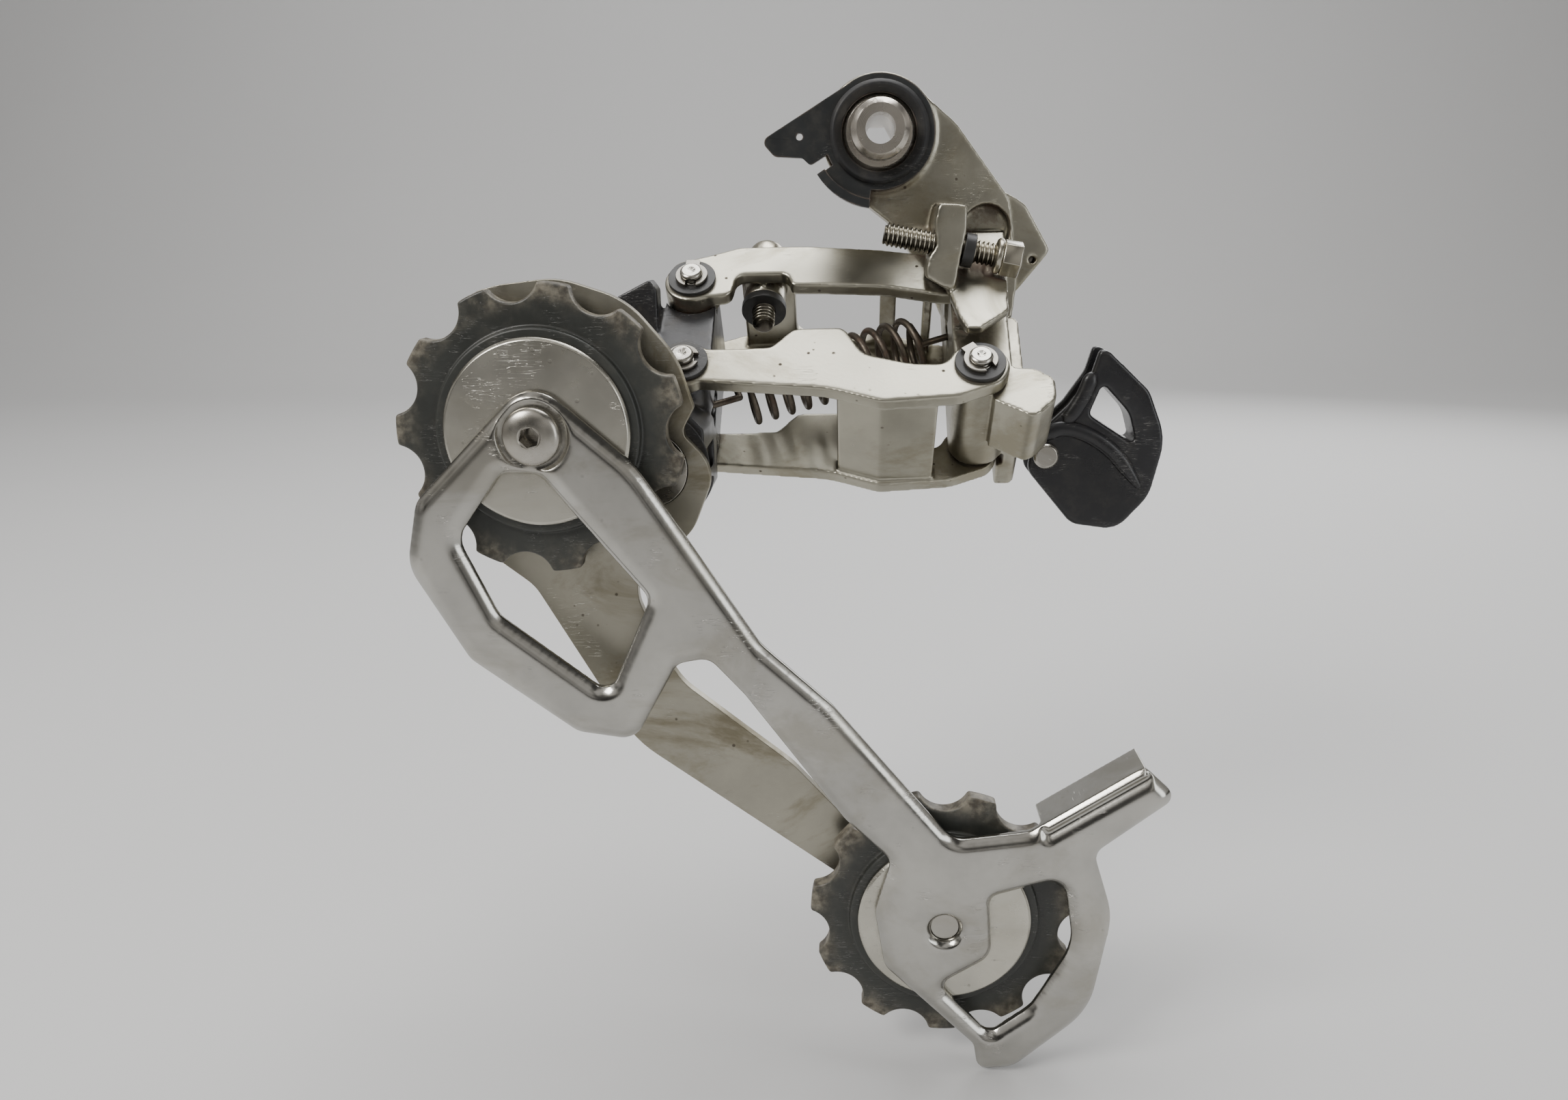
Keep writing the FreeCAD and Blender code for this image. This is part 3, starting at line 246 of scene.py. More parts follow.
def bare_metal(name, colour, rough, grime_and_shade=0.5, specks=0.3, scratch=0.5, grain=0.0,
               grain_turn=(0, 0, 0), dirt=(0.060, 0.045, 0.030), gap=0.0022, grit=0.12,
               tarnish=0.35, rust=0.0):
    """Metal with uneven gloss, scratches, dark specks, dirt and painted shade in the corners, and
    worn edges that carry a painted highlight.
    """
    paint = Paint(name)
    cloud = paint.noise(70, 5, 0.6)
    fine = paint.noise(1500, 2, 0.5)
    lines = paint.scratches(SCRATCH_TURNS)
    tone = paint.mix(paint.ramp(cloud, 0.3, 0.7), [c * 0.80 for c in colour], colour)
    smears = paint.ramp(paint.noise(38, 8, 0.68, paint.stretched((1, 1, 1.7), (0, 35, 0)), 0.6),
                        0.46, 0.66)
    stained = (colour[0] * 0.52, colour[1] * 0.48, colour[2] * 0.38)
    tone = paint.mix(paint.math("MULTIPLY", smears, tarnish), tone, stained)
    # Edges a little lighter: partly worn bare metal, partly a painted highlight along the edges.
    edge = paint.edges(0.0004)
    worn = paint.math("MULTIPLY", edge, paint.ramp(paint.noise(260), 0.35, 0.6))
    tone = paint.mix(paint.math("MULTIPLY", worn, 0.6), tone, [min(1, c * 1.25) for c in colour])
    patches = paint.ramp(paint.noise(330, 5, 0.65), 0.42, 0.66)
    # Darker in corners and gaps: partly dirt, partly painted shade where nearby surfaces block the
    # light.
    corner = paint.ramp(paint.hollows(gap), 0.22, 0.75)
    dirt_and_shade = paint.math("MULTIPLY", corner, paint.math("ADD", patches, 0.35))
    dirt_and_shade = paint.math("MULTIPLY", dirt_and_shade, grime_and_shade)
    spots = paint.ramp(paint.cells(420), 0.16, 0.07)
    spots = paint.math("MULTIPLY", spots, paint.ramp(paint.noise(120, 3), 0.53, 0.60))
    dirt_and_shade = paint.math("MAXIMUM", dirt_and_shade, paint.math("MULTIPLY", spots, specks))
    dirt_and_shade = paint.math("MINIMUM", dirt_and_shade, 1.0)
    tone = paint.mix(paint.math("MULTIPLY", lines, scratch * 0.35), tone, (0.95, 0.94, 0.90))
    # The dirt colour paints both the dirt and the painted shade in the corners.
    tone = paint.mix(dirt_and_shade, tone, dirt)
    if rust:
        # Dark brown patches in the deep hollows, partly grime and partly painted shade; the rust
        # amount sets how strong they are.
        deep_hollow_shade = paint.ramp(paint.hollows(0.014), 0.42, 0.72)
        brown_grime_and_shade = paint.math("MULTIPLY", deep_hollow_shade, paint.ramp(paint.noise(140, 7, 0.7), 0.47, 0.58))
        brown_grime_and_shade = paint.math("MULTIPLY", brown_grime_and_shade, rust)
        tone = paint.mix(brown_grime_and_shade, tone, (0.075, 0.036, 0.020))
        dirt_and_shade = paint.math("MAXIMUM", dirt_and_shade, brown_grime_and_shade)
    paint.set("Base Color", tone)
    paint.set("Metallic", paint.ramp(dirt_and_shade, 0.2, 1.0, 1.0, 0.25))
    gloss = paint.ramp(cloud, 0.25, 0.75, rough * 0.82, rough * 1.22)
    gloss = paint.math("ADD", gloss, paint.math("MULTIPLY", lines, scratch * 0.15))
    gloss = paint.math("ADD", gloss, paint.math("MULTIPLY", dirt_and_shade, 0.35))
    gloss = paint.math("ADD", gloss, paint.math("MULTIPLY", smears, tarnish * 0.16))
    paint.set("Roughness", gloss)
    height = paint.math("MULTIPLY", fine, grit)
    if grain:
        brushed = paint.noise(700, 3, 0.6, paint.stretched((1, 1, 24), grain_turn))
        height = paint.math("ADD", height, paint.math("MULTIPLY", brushed, grain))
    height = paint.math("SUBTRACT", height, paint.math("MULTIPLY", lines, scratch))
    height = paint.math("SUBTRACT", height, paint.math("MULTIPLY", spots, specks))
    paint.set("Normal", paint.bump(height, 0.00003))
    return paint


def turned_metal(name, colour, rough, centre, axis, pitch, grime_and_shade, scratch):
    """Bare metal with the fine rings that a lathe leaves round an axis."""
    paint = bare_metal(name, colour, rough, grime_and_shade, 0.15, scratch, gap=0.0007, tarnish=0.15)
    reach = paint.across(centre, axis)
    rings = paint.math("SINE", paint.math("MULTIPLY", reach, 2 * math.pi / pitch))
    wander = paint.noise(14000, 2, 0.5)
    rings = paint.math("ADD", rings, wander)
    before = paint.shader.inputs["Normal"].links[0].from_socket
    paint.set("Normal", paint.bump(rings, 0.000004, 0.5, before))
    return paint


def threaded_steel(name, node, axis, root, crest):
    """Steel whose thread grooves are darkened from crest down to root radius: partly grease, partly
    painted shade.
    """
    paint = bare_metal(name, (0.52, 0.49, 0.41), 0.26, grime_and_shade=0.3, specks=0.1, scratch=0.2)
    reach = paint.across(middle(node), Vector(axis).normalized())
    # Darker towards the thread roots: partly grease, partly painted shade in the grooves.
    groove_grease_and_shade = paint.ramp(reach, root * MM, crest * MM, 0.92, 0.0)
    groove_grease_and_shade = paint.math("MULTIPLY", groove_grease_and_shade, paint.ramp(paint.noise(150), 0.3, 0.6, 0.75, 1.0))
    under(paint, "Base Color", groove_grease_and_shade, (0.030, 0.024, 0.017))
    return paint


def under(paint, name, share, colour):
    """Lays a colour over what already feeds a colour socket."""
    before = paint.shader.inputs[name].links[0].from_socket
    paint.set(name, paint.mix(share, before, colour))


def plastic(name, colour, rough, dust=(0.16, 0.14, 0.11), dusty=0.25, worn=0.3, bumps=0.3,
            bare=None):
    """Moulded plastic or paint with dust, rubbed edges, small scratches and uneven gloss."""
    paint = Paint(name)
    cloud = paint.noise(90, 5, 0.6)
    lines = paint.scratches(SCRATCH_TURNS, 1.3, 0.58)
    edge = paint.math("MULTIPLY", paint.edges(0.0004), paint.ramp(paint.noise(300), 0.35, 0.6))
    rubbed = paint.math("MULTIPLY", edge, worn)
    tone = paint.mix(paint.ramp(cloud, 0.3, 0.7), [c * 0.75 for c in colour], colour)
    tone = paint.mix(rubbed, tone, bare or [min(1, c * 3 + 0.09) for c in colour])
    film = paint.math("MULTIPLY", paint.ramp(paint.noise(240, 6, 0.7), 0.45, 0.75), dusty)
    film = paint.math("ADD", film, paint.math("MULTIPLY", paint.ramp(paint.hollows(0.002), 0.2, 0.8),
                                              dusty))
    tone = paint.mix(paint.math("MINIMUM", film, 1.0), tone, dust)
    tone = paint.mix(paint.math("MULTIPLY", lines, 0.35), tone, (0.42, 0.41, 0.39))
    paint.set("Base Color", tone)
    gloss = paint.ramp(cloud, 0.25, 0.75, rough * 0.8, rough * 1.2)
    paint.set("Roughness", paint.math("ADD", gloss, paint.math("MULTIPLY", film, 0.3)))
    height = paint.math("MULTIPLY", paint.noise(2600, 3, 0.6), bumps)
    height = paint.math("SUBTRACT", height, paint.math("MULTIPLY", lines, 0.6))
    paint.set("Normal", paint.bump(height, 0.00003))
    return paint


def pulley_plastic(name, node, dirt_share):
    """Dark worn plastic whose teeth and rim carry beige-brown chain dirt."""
    paint = plastic(name, (0.030, 0.032, 0.028), 0.40, dusty=0.12, worn=0.25)
    reach = paint.across(middle(node), (0, 1, 0))
    outer = paint.ramp(reach, 18.2 * MM, 23.5 * MM)
    patches = paint.ramp(paint.noise(210, 6, 0.65), 0.42, 0.66)
    dirt = paint.math("MULTIPLY", outer, paint.math("ADD", patches, dirt_share))
    facing = paint.node("ShaderNodeNewGeometry")
    split = paint.node("ShaderNodeSeparateXYZ")
    paint.link(facing.outputs["Normal"], split.inputs[0])
    on_rim = paint.ramp(paint.math("ABSOLUTE", split.outputs["Y"]), 0.85, 0.45)
    on_rim = paint.math("MULTIPLY", on_rim, paint.ramp(reach, 18.0 * MM, 19.0 * MM))
    dirt = paint.math("MAXIMUM", dirt, paint.math("MULTIPLY", on_rim, 0.85))
    dirt = paint.math("MINIMUM", dirt, 1.0)
    grease = paint.mix(paint.ramp(paint.noise(520, 5, 0.6), 0.35, 0.65),
                       (0.060, 0.050, 0.036), (0.22, 0.20, 0.155))
    under(paint, "Base Color", dirt, grease)
    rough = paint.shader.inputs["Roughness"].links[0].from_socket
    paint.set("Roughness", paint.math("ADD", rough, paint.math("MULTIPLY", dirt, 0.12)))
    crust = paint.math("MULTIPLY", paint.noise(900, 5, 0.65), dirt)
    normal = paint.shader.inputs["Normal"].links[0].from_socket
    paint.set("Normal", paint.bump(crust, 0.00012, 0.6, normal))
    return paint


def rusty_wire(name):
    """Oiled spring wire that has gone dark brown, with rust in patches."""
    paint = Paint(name)
    cloud = paint.noise(240, 6, 0.7)
    rust = paint.ramp(cloud, 0.50, 0.68)
    fine = paint.noise(1300, 4, 0.65)
    brown = paint.mix(paint.ramp(fine, 0.3, 0.7), (0.030, 0.019, 0.013), (0.100, 0.056, 0.034))
    paint.set("Base Color", paint.mix(rust, (0.135, 0.115, 0.092), brown))
    paint.set("Metallic", paint.ramp(rust, 0.0, 1.0, 0.9, 0.15))
    paint.set("Roughness", paint.ramp(fine, 0.3, 0.7, 0.34, 0.62))
    paint.set("Normal", paint.bump(fine, 0.00006, 0.7))
    return paint


def make_materials():
    made = {
        "nickel_steel": turned_metal("nickel_steel", (0.60, 0.56, 0.50), 0.24,
                                     centre=middle("mounting_bolt"), axis=(0, 1, 0),
                                     pitch=0.00025, grime_and_shade=0.35, scratch=0.3),
        "black_plate": plastic("black_plate", (0.026, 0.028, 0.029), 0.34, dusty=0.12, worn=0.75,
                               bare=(0.34, 0.25, 0.19)),
        "rubber": plastic("rubber", (0.016, 0.016, 0.017), 0.55, dusty=0.16, worn=0.1),
        # rust=0.9 here gives strong dark brown patches in the deep hollows, partly grime and partly
        # painted shade.
        "forged_alloy": bare_metal("forged_alloy", (0.45, 0.43, 0.355), 0.33, grime_and_shade=1.0,
                                   specks=0.95, scratch=0.6, grit=0.35, tarnish=0.55, rust=0.9),
        "polished_alloy": bare_metal("polished_alloy", (0.50, 0.49, 0.455), 0.17, grime_and_shade=0.5,
                                     specks=0.12, scratch=0.8, grain=0.10,
                                     grain_turn=(0, 40, 0), grit=0.05),
        "plate_alloy": bare_metal("plate_alloy", (0.41, 0.39, 0.325), 0.38, grime_and_shade=1.0,
                                  specks=0.8, scratch=0.8, grit=0.3, tarnish=0.85, gap=0.004),
        "black_alloy": plastic("black_alloy", (0.022, 0.022, 0.024), 0.33, dusty=0.20, worn=0.55),
        "stainless": bare_metal("stainless", (0.50, 0.48, 0.435), 0.24, grime_and_shade=0.85, specks=0.2,
                                scratch=0.3, gap=0.0008, dirt=(0.045, 0.036, 0.028)),
        "spring_steel": rusty_wire("spring_steel"),
        "bush_polymer": plastic("bush_polymer", (0.018, 0.018, 0.018), 0.45, dusty=0.2, worn=0.2),
        "cap_alloy": bare_metal("cap_alloy", (0.60, 0.58, 0.51), 0.25, grime_and_shade=0.5, specks=0.3,
                                scratch=1.0, grit=0.04, tarnish=0.2),
        "cam_plastic": plastic("cam_plastic", (0.016, 0.016, 0.018), 0.30, dusty=0.10, worn=0.45),
    }
    made["angle_adjuster_screw"] = threaded_steel("adjuster_steel", "angle_adjuster_screw",
                                                  ADJUSTER_AXIS, root=1.66, crest=1.96)
    made["cable_anchor_bolt"] = threaded_steel("anchor_steel", "cable_anchor_bolt",
                                               ANCHOR_AXIS, root=1.72, crest=2.04)
    made["rear_pin_clip"] = bare_metal("clip_steel", (0.30, 0.285, 0.255), 0.34, grime_and_shade=1.0,
                                       specks=0.5, scratch=0.3, gap=0.0012)
    made["front_pin_clips"] = made["rear_pin_clip"]
    materials = {name: paint.material for name, paint in made.items()}
    for node, dirt_share in (("guide_pulley", 0.12), ("tension_pulley", 0.28)):
        materials[node] = pulley_plastic(node + "_plastic", node, dirt_share).material
    return materials


MATERIALS = make_materials()


def material_for(node):
    return MATERIALS.get(node) or MATERIALS[SLOT_OF[node]]


# ---------------------------------------------------------------- geometry tools


def settle(piece, node, hides=True):
    """Gives a piece its node's material and body, and hides the node."""
    piece.data.materials.clear()
    piece.data.materials.append(material_for(node))
    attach(piece, BODY_OF[node])
    if hides:
        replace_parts(piece, node)
    return piece


def new_piece(name, mesh):
    piece = bpy.data.objects.new(name, mesh)
    bpy.context.scene.collection.objects.link(piece)
    return piece


def mesh_from(work, name):
    """Turns a mesh under way into a finished one."""
    mesh = bpy.data.meshes.new(name)
    work.to_mesh(mesh)
    work.free()
    return mesh


def close_rings(work, rings):
    """Skins a stack of equal rings of vertices and closes both ends."""
    sides = len(rings[0])
    for below, above in zip(rings, rings[1:]):
        for side in range(sides):
            after = (side + 1) % sides
            work.faces.new((below[side], below[after], above[after], above[side]))
    work.faces.new(list(reversed(rings[0])))
    work.faces.new(rings[-1])


def along(axis, start):
    """A frame at start whose local Z runs along axis."""
    turn = Vector(axis).to_track_quat("Z", "Y").to_matrix().to_4x4()
    return Matrix.Translation(start) @ turn


def welded(node):
    """The node's mesh with its seams closed."""
    mesh = bmesh.new()
    mesh.from_mesh(NODES[node].data)
    bmesh.ops.remove_doubles(mesh, verts=mesh.verts, dist=2e-6)
    return mesh


def baked(piece):
    """Replaces a piece's mesh with what its modifiers make of it."""
    graph = bpy.context.evaluated_depsgraph_get()
    mesh = bpy.data.meshes.new_from_object(piece.evaluated_get(graph))
    piece.modifiers.clear()
    piece.data = mesh
    return mesh


def soften(mesh, sharp_angle):
    """Smooth shading, with a crease wherever two faces meet at more than the angle."""
    work = bmesh.new()
    work.from_mesh(mesh)
    for face in work.faces:
        face.smooth = True
    for edge in work.edges:
        edge.smooth = len(edge.link_faces) == 2 and edge.calc_face_angle(0) < sharp_angle
    work.to_mesh(mesh)
    work.free()


def cone_cutter(place, low_radius, high_radius, height):
    """A cone or cylinder, along local Z from place, for cutting a recess."""
    work = bmesh.new()
    bmesh.ops.create_cone(work, cap_ends=True, segments=64, radius1=low_radius * MM,
                          radius2=high_radius * MM, depth=height * MM)
    work.transform(place @ Matrix.Translation((0, 0, height * MM / 2)))
    return new_piece("cutter", mesh_from(work, "cutter"))


def wheel_side_cutter(centre, depth, low_radius, high_radius, height):
    """A cutter from a depth along Y, that opens towards the wheel side."""
    place = along(TOWARDS_WHEEL, (centre.x, depth, centre.z))
    return cone_cutter(place, low_radius, high_radius, height)


def cut(piece, cutters):
    """Takes the cutters out of a piece, and deletes them."""
    for cutter in cutters:
        boolean = piece.modifiers.new("cut", "BOOLEAN")
        boolean.operation = "DIFFERENCE"
        boolean.solver = "EXACT"
        boolean.object = cutter
    baked(piece)
    for cutter in cutters:
        bpy.data.objects.remove(cutter)


FINE_EDGE = 0.12
WALL_SLOPE = 0.35
FRONT_SLOPE = -0.3


def pressed_edges(piece, reach=2.4, drop=1.3, face_depth=2.0, eye_radius=4.2):
    """Rolls a plate's face on the wheel side down towards its outline, as pressing does.

    The rim of the tension bolt's threaded hole, inside eye_radius, stays sharp.
    """
    mesh = piece.data
    eye = middle("tension_pulley_bolt").xz
    walls = [vertex for vertex in mesh.vertices
             if abs(vertex.normal.y) < WALL_SLOPE and (vertex.co.xz - eye).length > eye_radius * MM]
    tree = KDTree(len(walls))
    for index, vertex in enumerate(walls):
        tree.insert((vertex.co.x, 0, vertex.co.z), index)
    tree.balance()
    face = min(vertex.co.y for vertex in mesh.vertices)
    front = [vertex for vertex in mesh.vertices
             if vertex.normal.y < FRONT_SLOPE and vertex.co.y < face + face_depth * MM]
    for vertex in front:
        distance = tree.find((vertex.co.x, 0, vertex.co.z))[2]
        share = max(0.0, 1 - distance / (reach * MM))
        vertex.co.y = max(vertex.co.y, face + drop * MM * share * share)
    ease = piece.modifiers.new("ease", "SMOOTH")
    ease.factor = 0.5
    ease.iterations = 5
    baked(piece)
    soften(piece.data, math.radians(70))


def machined(node, width=0.2, steps=2, angle=28, cutters=()):
    """A copy of the node with small round edges, so that they catch the light."""
    work = welded(node)
    bmesh.ops.dissolve_limit(work, angle_limit=math.radians(1.0), verts=work.verts,
                             edges=work.edges, use_dissolve_boundaries=False)
    piece = new_piece(node + "_look", mesh_from(work, node + "_look"))
    if cutters:
        cut(piece, cutters)
    bevel = piece.modifiers.new("edges", "BEVEL")
    bevel.width = width * MM
    bevel.segments = steps
    bevel.limit_method = "ANGLE"
    bevel.angle_limit = math.radians(angle)
    bevel.use_clamp_overlap = True
    baked(piece)
    soften(piece.data, math.radians(50))
    weighted = piece.modifiers.new("flat_faces", "WEIGHTED_NORMAL")
    weighted.keep_sharp = True
    baked(piece)
    return settle(piece, node)


def forged(node, cell=0.35, rounds=4, turn=None, cutters=()):
    """A copy of the node whose edges are rounded all over, as on a forging or moulding."""
    piece = new_piece(node + "_look", mesh_from(welded(node), node + "_look"))
    if cutters:
        cut(piece, cutters)
    if turn:
        piece.data.transform(turn.inverted())
    remesh = piece.modifiers.new("skin", "REMESH")
    remesh.mode = "VOXEL"
    remesh.voxel_size = cell * MM
    ease = piece.modifiers.new("ease", "SMOOTH")
    ease.factor = 0.5
    ease.iterations = rounds
    baked(piece)
    if turn:
        piece.data.transform(turn)
    soften(piece.data, math.radians(70))
    return settle(piece, node)


# ---------------------------------------------------------------- pieces


def thread_mesh(work, place, radius, depth, pitch, length, sides=48, taper=0.6):
    """A threaded rod along local Z, pointed at both ends, added to a mesh under way."""
    rows_per_turn = 12
    count = int(length / pitch * rows_per_turn)
    rings = []
    for row in range(count + 1):
        z = length * row / count
        ease = min(1.0, z / taper, (length - z) / taper)
        ring = []
        for side in range(sides):
            turn = side / sides
            phase = (z / pitch - turn) % 1.0
            ridge = 1 - abs(2 * phase - 1)
            ridge = min(1.0, max(0.0, ridge * 1.5 - 0.2))
            reach = radius - depth * (1 - ridge) - (1 - ease) * depth
            spin = 2 * math.pi * turn
            point = Vector((reach * math.cos(spin), reach * math.sin(spin), z)) * MM
            ring.append(work.verts.new(place @ point))
        rings.append(ring)
    close_rings(work, rings)


def end_of(node, axis):
    """The middle of a node's end face that lies furthest back along an axis."""
    direction = Vector(axis).normalized()
    points = [vertex.co for vertex in NODES[node].data.vertices]
    first = min(point.dot(direction) for point in points)
    ends = [point for point in points if point.dot(direction) < first + 0.02 * MM]
    return sum(ends, Vector()) / len(ends)


def hexagon(work, place, across_flats, low, high, chamfer):
    """A hexagon head between two heights along local Z, with chamfered corners."""
    reach = across_flats / math.sqrt(3)
    levels = ((low, chamfer), (low + chamfer * 0.5, 0), (high - chamfer * 0.5, 0), (high, chamfer))
    rings = []
    for height, inset in levels:
        ring = []
        for corner in range(6):
            spin = math.radians(60 * corner + 15)
            radius = reach - inset
            point = Vector((radius * math.cos(spin), radius * math.sin(spin), height)) * MM
            ring.append(work.verts.new(place @ point))
        rings.append(ring)
    close_rings(work, rings)


def lathe(work, place, profile, sides=64):
    """A turned solid from (radius, height) corners along local Z, closed on the axis."""
    rings = []
    for radius, height in profile:
        ring = []
        for side in range(sides):
            spin = 2 * math.pi * side / sides
            point = Vector((radius * math.cos(spin), radius * math.sin(spin), height)) * MM
            ring.append(work.verts.new(place @ point))
        rings.append(ring)
    close_rings(work, rings)


def rounded(name, work, width=0.12, sharp=45):
    """A piece from a mesh under way, with its hard edges rounded a little."""
    piece = new_piece(name, mesh_from(work, name))
    if width:
        bevel = piece.modifiers.new("edges", "BEVEL")
        bevel.width = width * MM
        bevel.segments = 2
        bevel.limit_method = "ANGLE"
        bevel.angle_limit = math.radians(30)
        baked(piece)
    soften(piece.data, math.radians(sharp))
    return piece


def adjuster_look():
    """The angle adjusting screw: an M4 thread, a collar and a chamfered hexagon head."""
    place = along(ADJUSTER_AXIS, end_of("angle_adjuster_screw", ADJUSTER_AXIS))
    threads = bmesh.new()
    thread_mesh(threads, place, radius=2.0, depth=0.34, pitch=0.8, length=20.2)
    rod = rounded("angle_adjuster_thread", threads, width=0, sharp=60)
    head = bmesh.new()
    lathe(head, place, [(1.7, 19.4), (2.8, 19.7), (3.1, 20.0), (3.1, 20.6), (2.7, 20.9)])
    hexagon(head, place, across_flats=5.6, low=20.8, high=24.2, chamfer=0.35)
    top = rounded("angle_adjuster_head", head)
    settle(rod, "angle_adjuster_screw")
    settle(top, "angle_adjuster_screw", hides=False)


def anchor_look():
    """The cable anchor bolt: a threaded end through the black washer, and a button head."""
    place = along(ANCHOR_AXIS, end_of("cable_anchor_bolt", ANCHOR_AXIS))
    threads = bmesh.new()
    thread_mesh(threads, place, radius=2.08, depth=0.36, pitch=0.8, length=16.2)
    rod = rounded("cable_anchor_thread", threads, width=0, sharp=60)
    head = bmesh.new()
    lathe(head, place, [(2.0, 15.9), (3.3, 15.9), (3.6, 16.3), (3.6, 18.6), (3.2, 19.6),
                        (2.2, 20.1), (1.5, 20.1), (1.45, 18.6)])
    top = rounded("cable_anchor_head", head)
    settle(rod, "cable_anchor_bolt")
    settle(top, "cable_anchor_bolt", hides=False)


def plate_recesses():
    """A shallow seat round the guide bolt, and a countersink at the tension bolt."""
    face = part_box("inner_cage_plate")[0].y
    guide = middle("guide_pulley_bolt")
    tension = middle("tension_pulley_bolt")
    seat = wheel_side_cutter(guide, face + 0.65 * MM, 5.7, 6.2, 1.5)
    sink = wheel_side_cutter(tension, face + 0.6 * MM, 2.5, 3.5, 1.2)
    return seat, sink


def guide_bolt_look():
    """The guide bolt's domed head with its hexagon socket, over the node's own shank."""
    node = "guide_pulley_bolt"
    centre = middle(node)
    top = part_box(node)[0].y
    place = along(TOWARDS_WHEEL, (centre.x, top + 1.7 * MM, centre.z))
    dome = bmesh.new()
    lathe(dome, place, [(4.0, -1.0), (4.6, -0.6), (4.6, 0.35), (4.4, 0.75), (3.9, 1.1), (3.1, 1.4),
                        (2.2, 1.58), (1.85, 1.6), (1.7, 1.45)])
    head = rounded("guide_pulley_bolt_head", dome, width=0, sharp=60)
    socket = bmesh.new()
    hexagon(socket, place, across_flats=2.9, low=-3.0, high=3.0, chamfer=0.04)
    cut(head, [new_piece("socket", mesh_from(socket, "socket"))])
    soften(head.data, math.radians(40))
    settle(head, node, hides=False)
    lost_head = wheel_side_cutter(centre, top + 1.4 * MM, 5.2, 5.2, 2.0)
    well = wheel_side_cutter(centre, top + 4.2 * MM, 1.7, 1.7, 4.0)
    machined(node, FINE_EDGE, cutters=[lost_head, well])


def tension_bolt_look():
    """The tension bolt, whose end stops inside the plate's threaded hole."""
    node = "tension_pulley_bolt"
    centre = middle(node)
    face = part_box("inner_cage_plate")[0].y
    end = wheel_side_cutter(centre, face + 1.5 * MM, 3.0, 3.0, 4.0)
    machined(node, FINE_EDGE, cutters=[end])


def swept(work, points, width, height):
    """A rounded rib along points, width across and height towards the wheel side."""
    sides = 12
    rings = []
    for index, point in enumerate(points):
        before = points[max(index - 1, 0)]
        after = points[min(index + 1, len(points) - 1)]
        ahead = (after - before).normalized()
        across = ahead.cross(Vector(TOWARDS_WHEEL))
        share = index / (len(points) - 1)
        ease = min(1.0, 0.35 + 4 * share, 0.35 + 4 * (1 - share))
        ring = []
        for side in range(sides):
            spin = 2 * math.pi * side / sides
            offset = across * (math.cos(spin) * width * ease) + Vector(TOWARDS_WHEEL) * (
                math.sin(spin) * height * ease)
            ring.append(work.verts.new(point + offset * MM))
        rings.append(ring)
    close_rings(work, rings)


def curve_through(points, steps=8):
    """A smooth run of points through a few chosen ones."""
    run = []
    for index in range(len(points) - 1):
        start, end = points[index], points[index + 1]
        before = points[max(index - 1, 0)]
        after = points[min(index + 2, len(points) - 1)]
        for step in range(steps):
            t = step / steps
            run.append(0.5 * (2 * start + (end - before) * t
                              + (2 * before - 5 * start + 4 * end - after) * t * t
                              + (3 * start - before - 3 * end + after) * t * t * t))
    return run + [points[-1]]


def cam_ribs():
    """The cam's two ribs: one sweeps across it under the window, one runs up its edge."""
    low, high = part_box("cable_guide_cam")
    span = high - low
    face = low.y

    def spot(across, up):
        return Vector((low.x + span.x * across, face, low.z + span.z * up))

    ribs = {
        "cam_cross_rib": [(0.06, 0.50), (0.22, 0.57), (0.42, 0.54), (0.64, 0.43), (0.84, 0.24)],
        "cam_edge_rib": [(0.26, 0.60), (0.38, 0.74), (0.45, 0.88)],
    }
    for name, spots in ribs.items():
        work = bmesh.new()
        swept(work, curve_through([spot(*place) for place in spots]), width=1.5, height=0.9)
        settle(rounded(name, work, width=0, sharp=60), "cable_guide_cam", hides=False)


def limit_hole():
    """A cutter for the slanted hole beside the limit screws, open to the wheel side."""
    screw = middle("low_limit_screw")
    place = along((-0.35, -1, 0.45), (screw.x + 1.5 * MM, 9.4 * MM, screw.z - 0.9 * MM))
    return cone_cutter(place, 0.62, 0.62, 4.0)


def finish_all():
    forged("mount_knuckle", cell=0.34, rounds=4, cutters=[limit_hole()])
    forged("cage_knuckle", cell=0.32, rounds=5)
    for node in ("outer_link", "inner_link"):
        forged(node, cell=0.30, rounds=4, turn=LINK_TURN)
    forged("cable_guide_cam", cell=0.28, rounds=4)
    machined("stopper_plate", width=0.35, steps=3)
    pressed_edges(forged("inner_cage_plate", cell=0.30, rounds=3, cutters=plate_recesses()))
    adjuster_look()
    anchor_look()
    guide_bolt_look()
    tension_bolt_look()
    cam_ribs()
    machined("outer_cage_plate", width=0.35)
    for node in ("guide_pulley", "tension_pulley"):
        machined(node, width=0.5, steps=3, angle=40)
    for node in ("guide_pulley_dust_caps", "tension_pulley_dust_caps"):
        machined(node, width=0.3, steps=3)
    return_spring_look()
    done = {piece["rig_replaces"][0] for piece in bpy.data.objects if "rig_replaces" in piece}
    for node in sorted(NODES):
        if node in done:
            continue
        if "spring" in node:
            plain(node)
        else:
            machined(node, FINE_EDGE)


def return_spring_look():
    """The long spring between the pins that its hooks hold, shown as a fixed copy of its node's
    mesh.
    """
    node = "return_spring"
    piece = new_piece(node + "_look", NODES[node].data.copy())
    piece.data.materials.clear()
    piece.data.materials.append(material_for(node))
    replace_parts(piece, node)
    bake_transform(piece)


def plain(node):
    """A node that is shown as it is, in its own material."""
    NODES[node].data.materials.clear()
    NODES[node].data.materials.append(material_for(node))


finish_all()


# ---------------------------------------------------------------- stage, light and camera


